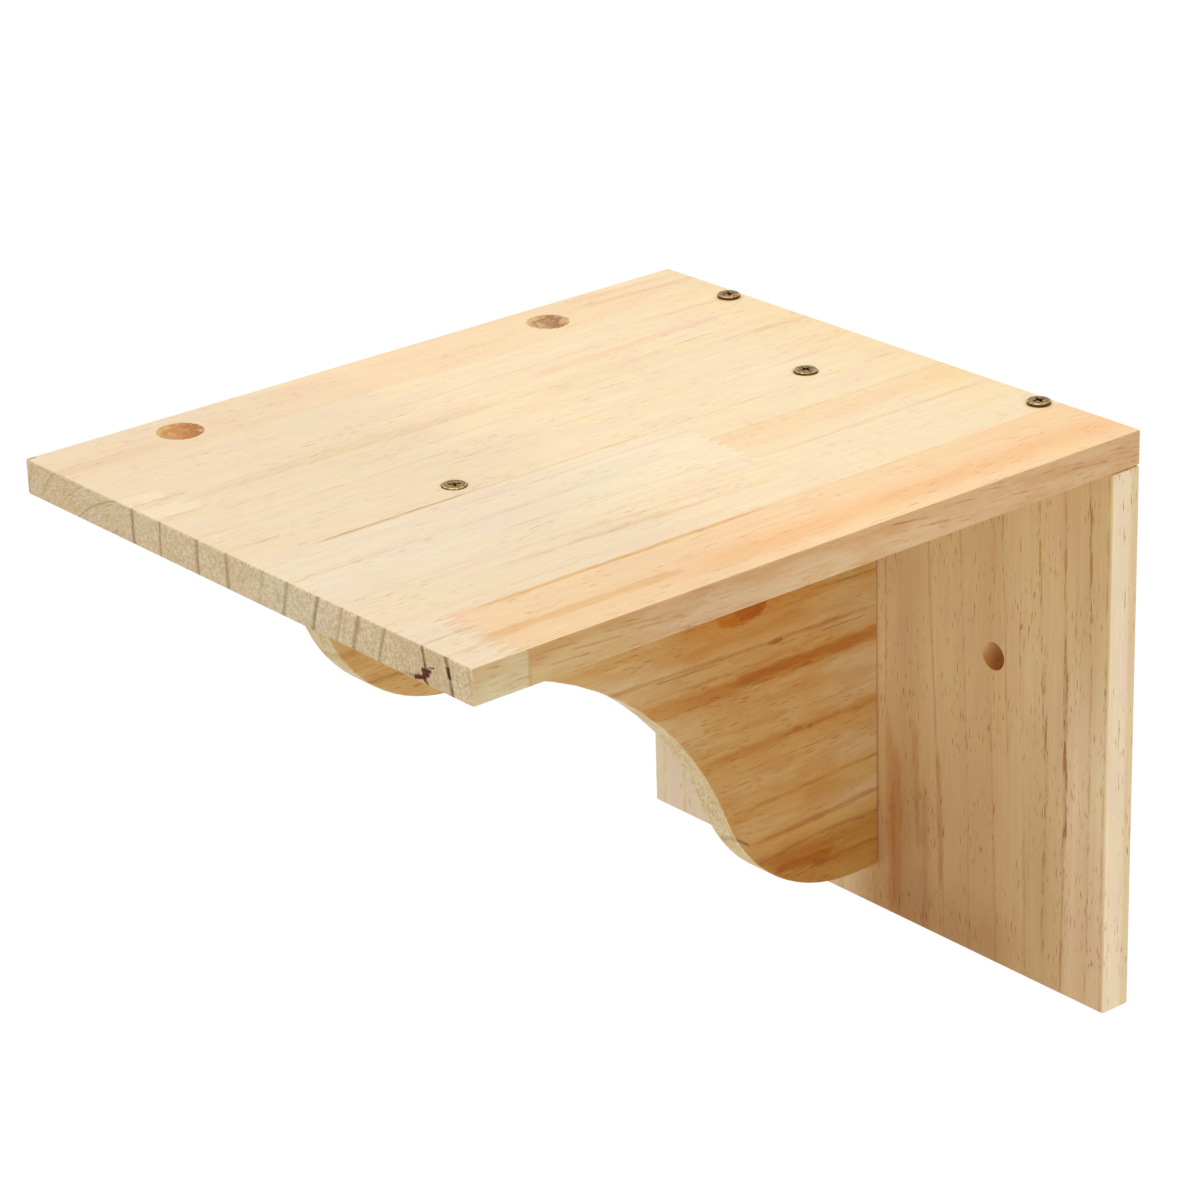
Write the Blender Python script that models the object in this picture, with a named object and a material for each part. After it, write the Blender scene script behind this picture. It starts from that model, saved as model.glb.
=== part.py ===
"""Wall-mounted cat step of solid pine: a deck board, a wall plate and a corbel.

Metres, +Z up. The wall is the plane y = 0 and the deck stands out from it
towards -Y. The origin lies on the wall plane, midway between the two wall
holes, so +X is to the right for someone who faces the wall.
"""
import math

import bmesh
import bpy
from mathutils import Euler, Matrix, Vector

# Deck board
deck_width = 0.228
deck_depth = 0.270
deck_thickness = 0.012

# Wall plate, as wide as the deck and hung under its wall end
plate_height = 0.193
plate_thickness = 0.012

# Wall holes, one in each half of the plate
wall_hole_diameter = 0.010
wall_hole_inset = 0.0525
wall_hole_drop = 0.079

# Corbel, a nose under the deck, a scoop, and a heel on the plate
corbel_thickness = 0.012
corbel_reach = 0.234
corbel_drop = 0.176
nose_radius = 0.053
scoop_radius = 0.131
heel_radius = 0.062
heel_flat = 0.012

# Sanded edges of the boards
deck_edge = 0.0007
plate_edge = 0.0007
corbel_edge = 0.0006

# Countersunk wood screws, all of one size
screw_length = 0.030
screw_head_diameter = 0.008
screw_head_rim = 0.0005
screw_head_crown = 0.0004
screw_crown_round = 0.0005
screw_thread_diameter = 0.004
screw_core_diameter = 0.0027
screw_pitch = 0.002
screw_neck = 0.0015
screw_tip = 0.005
screw_point_diameter = 0.0005
cross_span = 0.0046
cross_slot = 0.0011
cross_depth = 0.0019
cross_floor_share = 0.4

# Where the screws go
plate_screw_inset = 0.039
rear_screw_setback = 0.0265
front_screw_setback = 0.0595
upper_back_screw_drop = 0.038
lower_back_screw_rise = 0.038

# Degrees that each screw's cross is turned about its own axis
screw_turns = {
    "plate_screw_left": 64.0,
    "plate_screw_right": 73.0,
    "corbel_screw_rear": 4.0,
    "corbel_screw_front": 59.0,
    "back_screw_upper": 20.0,
    "back_screw_lower": 50.0,
}

# How far each head stands above its board, below zero where it is sunk
plate_screw_stand = 0.0013
rear_screw_stand = 0.0009
front_screw_stand = 0.0005
back_screw_stand = -0.0003

# Fits
joint_gap = 0.0003
screw_clearance = 0.0003

# Fineness of the round shapes
head_sides = 32
thread_sides = 12
thread_rows_per_turn = 3
hole_sides = 32
arc_step = math.radians(5.0)
edge_steps = 2

# Places that follow from the sizes, with the wall holes at height zero
plate_top = wall_hole_drop
plate_bottom = plate_top - plate_height
plate_front = -plate_thickness
deck_bottom = plate_top + joint_gap
deck_top = deck_bottom + deck_thickness
corbel_back = plate_front - joint_gap
corbel_top = deck_bottom - joint_gap
corbel_bottom = corbel_top - corbel_drop
corbel_tip = plate_front - corbel_reach
screw_head_height = screw_head_rim + screw_head_crown
screw_head_radius = screw_head_diameter / 2
screw_core_radius = screw_core_diameter / 2
screw_thread_radius = screw_thread_diameter / 2
screw_cone_height = screw_head_radius - screw_core_radius


def clear_scene():
    """Remove every object of the open scene."""
    for item in list(bpy.data.objects):
        bpy.data.objects.remove(item, do_unlink=True)


def finish(name, colour, roughness, metallic):
    """One Principled material."""
    material = bpy.data.materials.new(name)
    material.use_nodes = True
    shader = material.node_tree.nodes["Principled BSDF"]
    shader.inputs["Base Color"].default_value = (*colour, 1.0)
    shader.inputs["Roughness"].default_value = roughness
    shader.inputs["Metallic"].default_value = metallic
    return material


def add_object(name, mesh, location=(0.0, 0.0, 0.0), rotation=(0.0, 0.0, 0.0)):
    """Link a mesh to the scene as one object."""
    item = bpy.data.objects.new(name, mesh)
    item.location = location
    item.rotation_euler = rotation
    bpy.context.scene.collection.objects.link(item)
    return item


def mesh_from(name, bm):
    """Turn a bmesh into a mesh with its faces pointing out."""
    bmesh.ops.recalc_face_normals(bm, faces=bm.faces[:])
    mesh = bpy.data.meshes.new(name)
    bm.to_mesh(mesh)
    bm.free()
    return mesh


def shade_round(mesh, sharp_degrees=35.0):
    """Smooth a round mesh and keep its corners crisp."""
    mesh.shade_smooth()
    mesh.set_sharp_from_angle(angle=math.radians(sharp_degrees))


def ease_edges(item, width):
    """Sand the long corners of a board."""
    bevel = item.modifiers.new("sanded_edges", "BEVEL")
    bevel.width = width
    bevel.segments = edge_steps
    bevel.limit_method = "ANGLE"
    bevel.angle_limit = math.radians(30.0)


def cut(item, cutter):
    """Take one cutter out of a board."""
    boolean = item.modifiers.new("cut_" + cutter.name, "BOOLEAN")
    boolean.operation = "DIFFERENCE"
    boolean.solver = "EXACT"
    boolean.object = cutter


def hide_cutter(item):
    """Mark an object as a guide that isn't part of the model."""
    item.hide_render = True
    item.display_type = "WIRE"


def board(name, size, centre, edge, material):
    """A sanded rectangular board."""
    bm = bmesh.new()
    bmesh.ops.create_cube(bm, size=1.0)
    bmesh.ops.scale(bm, vec=Vector(size), verts=bm.verts)
    item = add_object(name, mesh_from(name, bm), location=centre)
    item.data.materials.append(material)
    ease_edges(item, edge)
    return item


def arc_points(centre, radius, start, end):
    """Points of an arc in the (y, z) plane, both ends included."""
    steps = max(2, math.ceil(abs(end - start) / arc_step))
    angles = [start + (end - start) * i / steps for i in range(steps + 1)]
    return [centre + radius * Vector((math.cos(a), math.sin(a))) for a in angles]


def circle_between(centre_a, reach_a, centre_b, reach_b):
    """The point below A and B that lies reach_a from A and reach_b from B."""
    span = centre_b - centre_a
    distance = span.length
    along = (reach_a**2 - reach_b**2 + distance**2) / (2 * distance)
    across = math.sqrt(max(reach_a**2 - along**2, 0.0))
    direction = span / distance
    sideways = Vector((direction.y, -direction.x))
    return centre_a + direction * along + sideways * across


def corbel_outline():
    """The corbel's outline in the (y, z) plane: nose, scoop, heel and foot."""
    nose = Vector((corbel_tip + nose_radius, corbel_top))
    heel = Vector((corbel_back - heel_flat, corbel_bottom + heel_radius))
    scoop = circle_between(nose, nose_radius + scoop_radius, heel, heel_radius + scoop_radius)
    to_scoop = scoop - nose
    from_heel = scoop - heel
    nose_end = math.atan2(to_scoop.y, to_scoop.x) % math.tau
    heel_start = math.atan2(from_heel.y, from_heel.x) % math.tau
    points = [Vector((corbel_back, corbel_top))]
    points += arc_points(nose, nose_radius, math.pi, nose_end)
    points += arc_points(scoop, scoop_radius, nose_end - math.pi, heel_start - math.pi)[1:-1]
    points += arc_points(heel, heel_radius, heel_start, 1.5 * math.pi)
    points.append(Vector((corbel_back, corbel_bottom)))
    return points


def build_corbel(name, material):
    """The corbel: its outline drawn across the thickness of one board."""
    bm = bmesh.new()
    near_side = corbel_thickness / 2
    loop = [bm.verts.new((near_side, point.x, point.y)) for point in corbel_outline()]
    face = bm.faces.new(loop)
    side = bmesh.ops.extrude_face_region(bm, geom=[face])
    moved = [part for part in side["geom"] if isinstance(part, bmesh.types.BMVert)]
    bmesh.ops.translate(bm, vec=(-corbel_thickness, 0.0, 0.0), verts=moved)
    item = add_object(name, mesh_from(name, bm))
    shade_round(item.data)
    item.data.materials.append(material)
    ease_edges(item, corbel_edge)
    return item


def ring(bm, radius, height, sides):
    """A closed loop of vertices round the Z axis."""
    turn = math.tau / sides
    return [
        bm.verts.new((radius * math.cos(turn * i), radius * math.sin(turn * i), height))
        for i in range(sides)
    ]


def join_rings(bm, upper, lower):
    """Faces between two rings of the same number of sides."""
    count = len(upper)
    for i in range(count):
        j = (i + 1) % count
        bm.faces.new((upper[i], upper[j], lower[j], lower[i]))


def turned_rings(bm, profile, sides):
    """Rings for a list of (radius, height), joined from the first to the last."""
    rings = [ring(bm, radius, height, sides) for radius, height in profile]
    for upper, lower in zip(rings, rings[1:]):
        join_rings(bm, upper, lower)
    return rings


def thread_radius(turns, from_neck, from_point):
    """Radius of the thread at a place along its pitch, its run-in and its taper."""
    along_pitch = turns % 1.0
    ridge = max(0.0, 1.0 - abs(along_pitch - 0.5) * thread_rows_per_turn)
    run_in = min(1.0, from_neck / screw_pitch)
    taper = min(1.0, from_point / screw_tip)
    point_radius = screw_point_diameter / 2
    root = point_radius + (screw_core_radius - point_radius) * taper
    crest = (screw_thread_radius - screw_core_radius) * min(run_in, taper)
    return root + crest * ridge


def build_thread(bm, top, bottom):
    """The threaded shank, a sheared tube whose rows follow the helix."""
    rise = screw_pitch / thread_rows_per_turn
    rows = math.ceil((top - bottom) / rise) + thread_rows_per_turn
    places = {}

    def vertex(side, row):
        row -= thread_rows_per_turn * (side // thread_sides)
        side %= thread_sides
        level = top - rise * row + screw_pitch * side / thread_sides
        height = min(top, max(bottom, level))
        key = (side, round(height, 7))
        if key not in places:
            turns = 0.5 + row / thread_rows_per_turn
            radius = thread_radius(turns, top - height, height - bottom)
            angle = math.tau * side / thread_sides
            place = (radius * math.cos(angle), radius * math.sin(angle), height)
            places[key] = bm.verts.new(place)
        return places[key]

    for side in range(thread_sides):
        for row in range(rows):
            corners = [
                vertex(side, row),
                vertex(side + 1, row),
                vertex(side + 1, row + 1),
                vertex(side, row + 1),
            ]
            distinct = list(dict.fromkeys(corners))
            if len(distinct) > 2:
                bm.faces.new(distinct)
    first = [places[(side, round(top, 7))] for side in range(thread_sides)]
    last = [places[(side, round(bottom, 7))] for side in range(thread_sides)]
    return first, last


def loop_edges(bm, loop):
    """The edges of a closed loop of vertices."""
    return [bm.edges.get((a, b)) for a, b in zip(loop, loop[1:] + loop[:1])]


def screw_mesh():
    """A countersunk wood screw: Z points out of its head, its rim starts at zero."""
    bm = bmesh.new()
    head_profile = [
        (screw_head_radius - screw_crown_round, screw_head_height),
        (screw_head_radius - screw_crown_round * 0.4, screw_head_rim + screw_head_crown * 0.8),
        (screw_head_radius - screw_crown_round * 0.1, screw_head_rim + screw_head_crown * 0.4),
        (screw_head_radius, screw_head_rim),
        (screw_head_radius, 0.0),
        (screw_core_radius, -screw_cone_height),
    ]
    head_rings = turned_rings(bm, head_profile, head_sides)
    bm.faces.new(head_rings[0])
    neck_end = -screw_cone_height - screw_neck
    first, last = build_thread(bm, neck_end, -screw_length)
    bmesh.ops.bridge_loops(bm, edges=loop_edges(bm, head_rings[-1]) + loop_edges(bm, first))
    bm.faces.new(last)
    return mesh_from("wood_screw", bm)


def cross_mesh():
    """The tapered cross that is pressed into a screw's head."""
    bm = bmesh.new()
    arm = cross_span / 2
    half = cross_slot / 2
    quarter = [(arm, -half), (arm, half), (half, half)]
    top_height = screw_head_height + screw_clearance
    floor_height = screw_head_height - cross_depth
    rings = []
    for share, height in ((1.0, top_height), (cross_floor_share, floor_height)):
        loop = []
        for turn in range(4):
            spin = Matrix.Rotation(turn * math.pi / 2, 2)
            for corner in quarter:
                place = spin @ Vector((corner[0] * share, corner[1] * share))
                loop.append(bm.verts.new((place.x, place.y, height)))
        rings.append(loop)
    join_rings(bm, rings[0], rings[1])
    bm.faces.new(rings[0])
    bm.faces.new(rings[1])
    return mesh_from("cross_recess", bm)


def bore_mesh():
    """The countersunk bore of one screw, its clearance kept all round."""
    bm = bmesh.new()
    wide = screw_head_radius + screw_clearance
    narrow = screw_thread_radius + screw_clearance
    lean = screw_clearance * (math.sqrt(2.0) - 1.0)
    cone = screw_head_radius - screw_thread_radius
    point = screw_length + screw_clearance
    profile = [
        (wide, screw_head_height + screw_length),
        (wide, -lean),
        (narrow, -cone - lean),
        (narrow, screw_tip - point),
        (screw_point_diameter + screw_clearance, -point),
    ]
    rings = turned_rings(bm, profile, head_sides)
    bm.faces.new(rings[0])
    bm.faces.new(rings[-1])
    return mesh_from("screw_bore", bm)


def build_screw(name, shapes, face_point, rotation, stand, material):
    """One screw with its head standing proud of a face, and the bore it needs."""
    out = Euler(rotation).to_matrix() @ Vector((0.0, 0.0, 1.0))
    seat = Vector(face_point) + out * (stand - screw_head_height)
    item = add_object(name, shapes["screw"].copy(), location=seat, rotation=rotation)
    item.data.materials.append(material)
    cross = add_object(name + "_cross", shapes["cross"], location=seat, rotation=rotation)
    hide_cutter(cross)
    cut(item, cross)
    bore = add_object(name + "_bore", shapes["bore"], location=seat, rotation=rotation)
    hide_cutter(bore)
    return bore


def wall_hole(name, x):
    """The cutter of one plain hole through the plate."""
    bm = bmesh.new()
    bmesh.ops.create_cone(
        bm,
        cap_ends=True,
        segments=hole_sides,
        radius1=wall_hole_diameter / 2,
        radius2=wall_hole_diameter / 2,
        depth=plate_thickness * 2,
    )
    place = (x, plate_front / 2, 0.0)
    item = add_object(name, mesh_from(name, bm), location=place, rotation=(math.pi / 2, 0.0, 0.0))
    hide_cutter(item)
    return item


def build():
    """Model every piece of the step in its place."""
    clear_scene()
    deck = board(
        "deck_board",
        (deck_width, deck_depth, deck_thickness),
        (0.0, -deck_depth / 2, (deck_bottom + deck_top) / 2),
        deck_edge,
        finish("deck_pine", (0.86, 0.68, 0.42), 0.55, 0.0),
    )
    plate = board(
        "wall_plate",
        (deck_width, plate_thickness, plate_height),
        (0.0, plate_front / 2, (plate_top + plate_bottom) / 2),
        plate_edge,
        finish("plate_pine", (0.60, 0.38, 0.19), 0.55, 0.0),
    )
    corbel = build_corbel("corbel_bracket", finish("corbel_pine", (0.56, 0.32, 0.13), 0.55, 0.0))

    hole_x = deck_width / 2 - wall_hole_inset
    for side, name in ((-1, "left_wall_hole"), (1, "right_wall_hole")):
        cut(plate, wall_hole(name, side * hole_x))

    shapes = {"screw": screw_mesh(), "cross": cross_mesh(), "bore": bore_mesh()}
    shade_round(shapes["screw"])
    screw_x = deck_width / 2 - plate_screw_inset
    rear_y = corbel_back - rear_screw_setback
    front_y = corbel_tip + front_screw_setback
    upper_z = corbel_top - upper_back_screw_drop
    lower_z = corbel_bottom + lower_back_screw_rise
    on_plate = (deck, plate)
    on_corbel = (deck, corbel)
    from_behind = (plate, corbel)
    facing_wall = -math.pi / 2
    screws = (
        ("plate_screw_left", (-screw_x, plate_front / 2, deck_top), 0.0, plate_screw_stand, on_plate),
        ("plate_screw_right", (screw_x, plate_front / 2, deck_top), 0.0, plate_screw_stand, on_plate),
        ("corbel_screw_rear", (0.0, rear_y, deck_top), 0.0, rear_screw_stand, on_corbel),
        ("corbel_screw_front", (0.0, front_y, deck_top), 0.0, front_screw_stand, on_corbel),
        ("back_screw_upper", (0.0, 0.0, upper_z), facing_wall, back_screw_stand, from_behind),
        ("back_screw_lower", (0.0, 0.0, lower_z), facing_wall, back_screw_stand, from_behind),
    )
    for name, point, tilt, stand, boards in screws:
        turn = math.radians(screw_turns[name])
        spin = Matrix.Rotation(tilt, 3, "X") @ Matrix.Rotation(turn, 3, "Z")
        bronze = finish(name + "_bronze", (0.30, 0.20, 0.11), 0.35, 1.0)
        bore = build_screw(name, shapes, point, spin.to_euler(), stand, bronze)
        for pierced in boards:
            cut(pierced, bore)


build()
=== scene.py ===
"""Looks of the wall-mounted cat step: bare sanded pine and bronze wood screws."""

import math

import bpy
from mathutils import Matrix, Vector


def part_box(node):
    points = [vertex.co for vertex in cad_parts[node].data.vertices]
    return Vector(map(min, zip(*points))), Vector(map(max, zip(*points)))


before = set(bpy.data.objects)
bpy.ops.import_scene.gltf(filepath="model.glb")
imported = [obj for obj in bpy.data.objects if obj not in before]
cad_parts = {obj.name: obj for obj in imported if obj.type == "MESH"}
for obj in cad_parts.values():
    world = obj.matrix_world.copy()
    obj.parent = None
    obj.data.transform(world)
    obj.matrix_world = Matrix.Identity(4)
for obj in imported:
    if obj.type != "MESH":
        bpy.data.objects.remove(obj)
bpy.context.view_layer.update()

# Measures in millimetres, in the frame of the solids: the wall is y = 0,
# the wall holes are at z = 0, and the deck stands out towards -Y.
MM = 0.001
DECK_LOW, DECK_HIGH = (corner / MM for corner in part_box("deck_board"))
PLATE_LOW, PLATE_HIGH = (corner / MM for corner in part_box("wall_plate"))
CORBEL_LOW, CORBEL_HIGH = (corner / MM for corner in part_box("corbel_bracket"))
DECK_SCREWS = (
    "plate_screw_left", "plate_screw_right", "corbel_screw_rear", "corbel_screw_front",
)
BACK_SCREWS = ("back_screw_upper", "back_screw_lower")
WALL_HOLE = 61.5
WALL_HOLE_RADIUS = 5.0
SCREW_HEAD_RADIUS = 4.0

# Glue joints of the deck: three along the grain, and finger joints across it.
# The front joint has long fingers in the right stave and blunt ones in the
# second, and the rear joint, in the third, has shallow ones.
LEFT_JOINT, MIDDLE_JOINT, RIGHT_JOINT = -62.5, 8.0, 79.5
FRONT_FINGERS, REAR_FINGERS = -249.5, -101.5
LONG_FINGERS, BLUNT_FINGERS, SHALLOW_FINGERS = 8.2, 2.0, 3.6
FINGER_PITCH = 4.15
FINGER_SHIFT = 0.55

# Staves of the deck from the left: where each starts, the lean of its rings, its seed
DECK_STAVES = (
    (DECK_LOW.x, 3.04, 0.1), (LEFT_JOINT, 0.0, 0.4), (MIDDLE_JOINT, 0.28, 0.7),
    (RIGHT_JOINT, -0.18, 0.95),
)
LEAN_SPAN = 4.0
# How much more the left stave's rings lean for each mm from its joint
LEFT_FAN = 0.05
# Where the broad tones on either side of the right joint start, in mm from it
JOINT_MARGIN = 0.7

# Camera fitted to the corners of the boards in the photograph
CAMERA_PLACE = Vector((0.95161, -0.91021, 0.55589))
CAMERA_AHEAD = Vector((-0.71225, 0.58422, -0.38908))
CAMERA_RIGHT = Vector((0.64326, 0.76511, -0.02871))
CAMERA_LENS = 124.257
SENSOR_WIDTH = 36.0

# Light as the share of a surface's own colour that it gives: all round, and from
# each lamp, (name, place, width, share). Places and widths are in metres.
AMBIENT_LIGHT = 0.58
LAMPS = (
    ("lamp_above", (-0.15, -0.35, 1.7), 1.4, 0.45),
    ("lamp_right", (1.7, -0.75, 0.45), 0.9, 0.22),
)
LAMP_AIM = (0.0, -0.12, 0.0)

# The floor, in metres: how far it lies below the plate, its width, and its grey
FLOOR_DROP = 0.42
FLOOR_WIDTH = 12.0
FLOOR_GREY = (0.93, 0.93, 0.93)
# Its glow to the camera: (reach, strength) near the step and far away
FLOOR_GLOW_NEAR, FLOOR_GLOW_FAR = (0.3, 0.25), (3.2, 0.50)


def linear(red, green, blue):
    """A colour read as 0 to 255 in sRGB, as the linear values that nodes take."""
    return tuple(
        part / 12.92 if part <= 0.04045 else ((part + 0.055) / 1.055) ** 2.4
        for part in (red / 255.0, green / 255.0, blue / 255.0)
    )


# Tones of bare pine
BUTTER = linear(252, 233, 200)
CREAM = linear(252, 229, 191)
STRAW = linear(251, 225, 184)
PEACH = linear(251, 221, 180)
HONEYED = linear(252, 222, 178)
MELON = linear(252, 216, 169)
APRICOT = linear(252, 205, 152)

# Tints that go over a tone: below one they darken it, above one they lighten it
CLEAR = (1.0, 1.0, 1.0)
FAINT = (0.94, 0.90, 0.83)
TAN = (0.87, 0.79, 0.66)
HONEY = (0.83, 0.68, 0.42)
BROWN = (0.70, 0.57, 0.43)
RUST = (0.74, 0.48, 0.30)
RUSTED = (0.58, 0.34, 0.12)
UMBER = (0.42, 0.31, 0.16)
ASH = (0.72, 0.68, 0.62)
ROSE = (0.99, 0.89, 0.87)
GRAIN_DARK, GRAIN_PALE = (0.955, 0.915, 0.84), (1.015, 1.03, 1.06)
PATCH_ROSY, PATCH_YELLOW = (0.985, 0.95, 0.98), (1.0, 1.015, 0.97)
CLOUDED = (1.0, 0.99, 0.975)
END_GRAIN_DARK, END_GRAIN_PALE = (0.85, 0.81, 0.69), (1.09, 1.10, 1.13)
PITTED = (0.50, 0.40, 0.27)
# A painted highlight on eased edges
EDGE_HIGHLIGHT = (1.05, 1.03, 0.99)
# Pressed fibres with painted contact shade round a screw
CRUSHED_AND_SHADED = (0.90, 0.84, 0.72)

# Finish: the shine of sanded wood, and the depths of relief in mm
SANDED_SHINE = 0.24
WOOD_RELIEF = 0.035
PLATING_RELIEF = 0.03

# Sockets of the shared effects that don't carry a single number
SOCKET_KINDS = {
    "Normal": "NodeSocketVector", "Place": "NodeSocketVector",
    "Colour": "NodeSocketColor", "Duct Tint": "NodeSocketColor",
}


class NodeBench:
    """Adds nodes to one tree and wires each as it is added."""

    def __init__(self, tree):
        self.tree = tree

    def feed(self, socket, value):
        """Wire a socket to another node's output, or set its own value."""
        if isinstance(value, bpy.types.NodeSocket):
            self.tree.links.new(value, socket)
        elif isinstance(value, tuple) and socket.type == "RGBA":
            socket.default_value = (*value, 1.0)
        else:
            socket.default_value = value

    def node(self, kind, feeds=None, **settings):
        """One node with its settings and what feeds its sockets."""
        made = self.tree.nodes.new(kind)
        for name, value in settings.items():
            setattr(made, name, value)
        for socket, value in (feeds or {}).items():
            self.feed(made.inputs[socket], value)
        return made

    def calc(self, operation, *values):
        """One step of arithmetic."""
        feeds = dict(enumerate(values))
        return self.node("ShaderNodeMath", feeds, operation=operation).outputs[0]

    def total(self, first, *others):
        """The sum of several values."""
        for other in others:
            first = self.calc("ADD", first, other)
        return first

    def product(self, first, *others):
        """The product of several values."""
        for other in others:
            first = self.calc("MULTIPLY", first, other)
        return first

    def less(self, first, second):
        """What is left of one value without another."""
        return self.calc("SUBTRACT", first, second)

    def ease(self, value, start, end, low=0.0, high=1.0):
        """Go smoothly from low to high as a value goes from start to end."""
        feeds = {0: value, 1: start, 2: end, 3: low, 4: high}
        made = self.node("ShaderNodeMapRange", feeds, interpolation_type="SMOOTHSTEP")
        return made.outputs[0]

    def stretch(self, value, start, end, low=0.0, high=1.0):
        """Go evenly from low to high as a value goes from start to end."""
        feeds = {0: value, 1: start, 2: end, 3: low, 4: high}
        return self.node("ShaderNodeMapRange", feeds).outputs[0]

    def between(self, value, low, high):
        """One where a value lies between two others."""
        above = self.calc("GREATER_THAN", value, low)
        return self.product(above, self.calc("LESS_THAN", value, high))

    def aside(self, value, middle):
        """How far a value lies from a middle, on either side."""
        return self.calc("ABSOLUTE", self.less(value, middle))

    def window(self, value, bounds, low=0.0, high=1.0):
        """From low to high by (start, end), or by (middle, start, end) away from it."""
        if len(bounds) == 3:
            value = self.aside(value, bounds[0])
        return self.ease(value, *bounds[-2:], low, high)

    def point(self, x, y, z):
        """Three values as one vector."""
        return self.node("ShaderNodeCombineXYZ", {0: x, 1: y, 2: z}).outputs[0]

    def grained(self, across, along, through, fine, long):
        """A place for noise that is drawn out along the grain."""
        x, y = self.product(across, fine), self.product(along, long)
        return self.point(x, y, self.product(through, fine))

    def length(self, x, y, z=0.0):
        """How far a point lies from the origin."""
        feeds = {0: self.point(x, y, z)}
        return self.node("ShaderNodeVectorMath", feeds, operation="LENGTH").outputs["Value"]

    def split(self, vector):
        """The three values of a vector."""
        return self.node("ShaderNodeSeparateXYZ", {0: vector}).outputs

    def noise(self, vector, detail=2.0, roughness=0.5, scale=1.0):
        """Soft noise between 0 and 1."""
        feeds = {"Vector": vector, "Scale": scale, "Detail": detail, "Roughness": roughness}
        return self.node("ShaderNodeTexNoise", feeds).outputs["Fac"]

    def mix(self, share, first, second, mode="MIX"):
        """Lay the second colour over the first, as far as share says."""
        feeds = {0: share, 6: first, 7: second}
        made = self.node("ShaderNodeMix", feeds, data_type="RGBA", blend_type=mode)
        return made.outputs[2]

    def tint(self, share, colour, tint):
        """Multiply a colour by a tint, as far as share says."""
        return self.mix(share, colour, tint, "MULTIPLY")

    def ramp(self, value, stops, interpolation="LINEAR"):
        """Colours at places between 0 and 1."""
        made = self.node("ShaderNodeValToRGB", {0: value})
        made.color_ramp.interpolation = interpolation
        elements = made.color_ramp.elements
        elements.remove(elements[0])
        for i, (place, colour) in enumerate(stops):
            element = elements[0] if i == 0 else elements.new(place)
            element.position = place
            element.color = (*colour, 1.0)
        return made.outputs[0]

    def group(self, tree, feeds):
        """A shared effect, with its inputs by name."""
        names = [item.name for item in tree.interface.items_tree if item.in_out == "INPUT"]
        wired = {names.index(name): value for name, value in feeds.items()}
        return self.node("ShaderNodeGroup", wired, node_tree=tree).outputs


def shared_effect(name, inputs, outputs):
    """An empty node group: its bench, its inputs by name and its output node."""
    tree = bpy.data.node_groups.new(name, "ShaderNodeTree")
    for way, labels in (("INPUT", inputs), ("OUTPUT", outputs)):
        for label in labels:
            kind = SOCKET_KINDS.get(label, "NodeSocketFloat")
            tree.interface.new_socket(name=label, in_out=way, socket_type=kind)
    bench = NodeBench(tree)
    source = bench.node("NodeGroupInput").outputs
    return bench, {label: source[label] for label in inputs}, bench.node("NodeGroupOutput").inputs


def pine_figure():
    """The figure inside a pine board, from places along and across its grain."""
    bench, given, result = shared_effect(
        "pine_figure",
        ("Across", "Along", "Through", "Lean", "Wander", "Seed"),
        ("Ring Place", "Fibre", "Mottle", "Patches", "Breaks", "Ducts", "Pits", "Clouds"),
    )
    across, along = given["Across"], given["Along"]
    seeded = bench.total(given["Through"], given["Seed"])
    sway = bench.noise(bench.grained(across, along, seeded, 0.03, 0.011), detail=3.0)
    sway = bench.product(bench.less(sway, 0.5), given["Wander"], 2.0)
    place = bench.total(across, bench.product(given["Lean"], given["Through"]), sway)
    bench.feed(result["Ring Place"], place)

    # Fibres a hair wide, soft patches, and the breaks that cut a ring into dashes
    fibres = bench.grained(place, along, seeded, 0.95, 0.016)
    bench.feed(result["Fibre"], bench.noise(fibres, detail=4.0, roughness=0.62))
    broad = bench.grained(place, along, seeded, 0.20, 0.045)
    mottle = bench.noise(broad, detail=4.0, roughness=0.62)
    bench.feed(result["Mottle"], mottle)
    bench.feed(result["Patches"], bench.ease(mottle, 0.36, 0.62))
    dashes = bench.grained(place, along, seeded, 0.75, 0.10)
    bench.feed(result["Breaks"], bench.noise(dashes, detail=3.0, roughness=0.65))

    # Resin ducts: short dark threads that come in flocks
    thread = bench.noise(bench.grained(place, along, seeded, 2.1, 0.17), detail=1.0)
    flock = bench.noise(bench.grained(across, along, seeded, 0.08, 0.03), detail=1.0)
    ducts = bench.product(bench.ease(thread, 0.63, 0.72), bench.ease(flock, 0.40, 0.56))
    bench.feed(result["Ducts"], ducts)

    # Pits of the end grain: round specks that come in crowds
    cells = {"Vector": bench.grained(across, along, seeded, 1.5, 1.5), "Scale": 1.0}
    speck = bench.node("ShaderNodeTexVoronoi", cells)
    luck = bench.split(speck.outputs["Color"])[1]
    dot = bench.ease(speck.outputs["Distance"], 0.36, 0.14)
    dot = bench.product(dot, bench.ease(luck, 0.5, 0.8))
    crowd = bench.noise(bench.grained(across, along, seeded, 0.13, 0.13), detail=1.0)
    bench.feed(result["Pits"], bench.product(dot, bench.ease(crowd, 0.42, 0.60)))

    clouds = bench.grained(across, along, seeded, 0.032, 0.012)
    bench.feed(result["Clouds"], bench.noise(clouds, detail=2.0, roughness=0.55))
    return bench.tree


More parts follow.
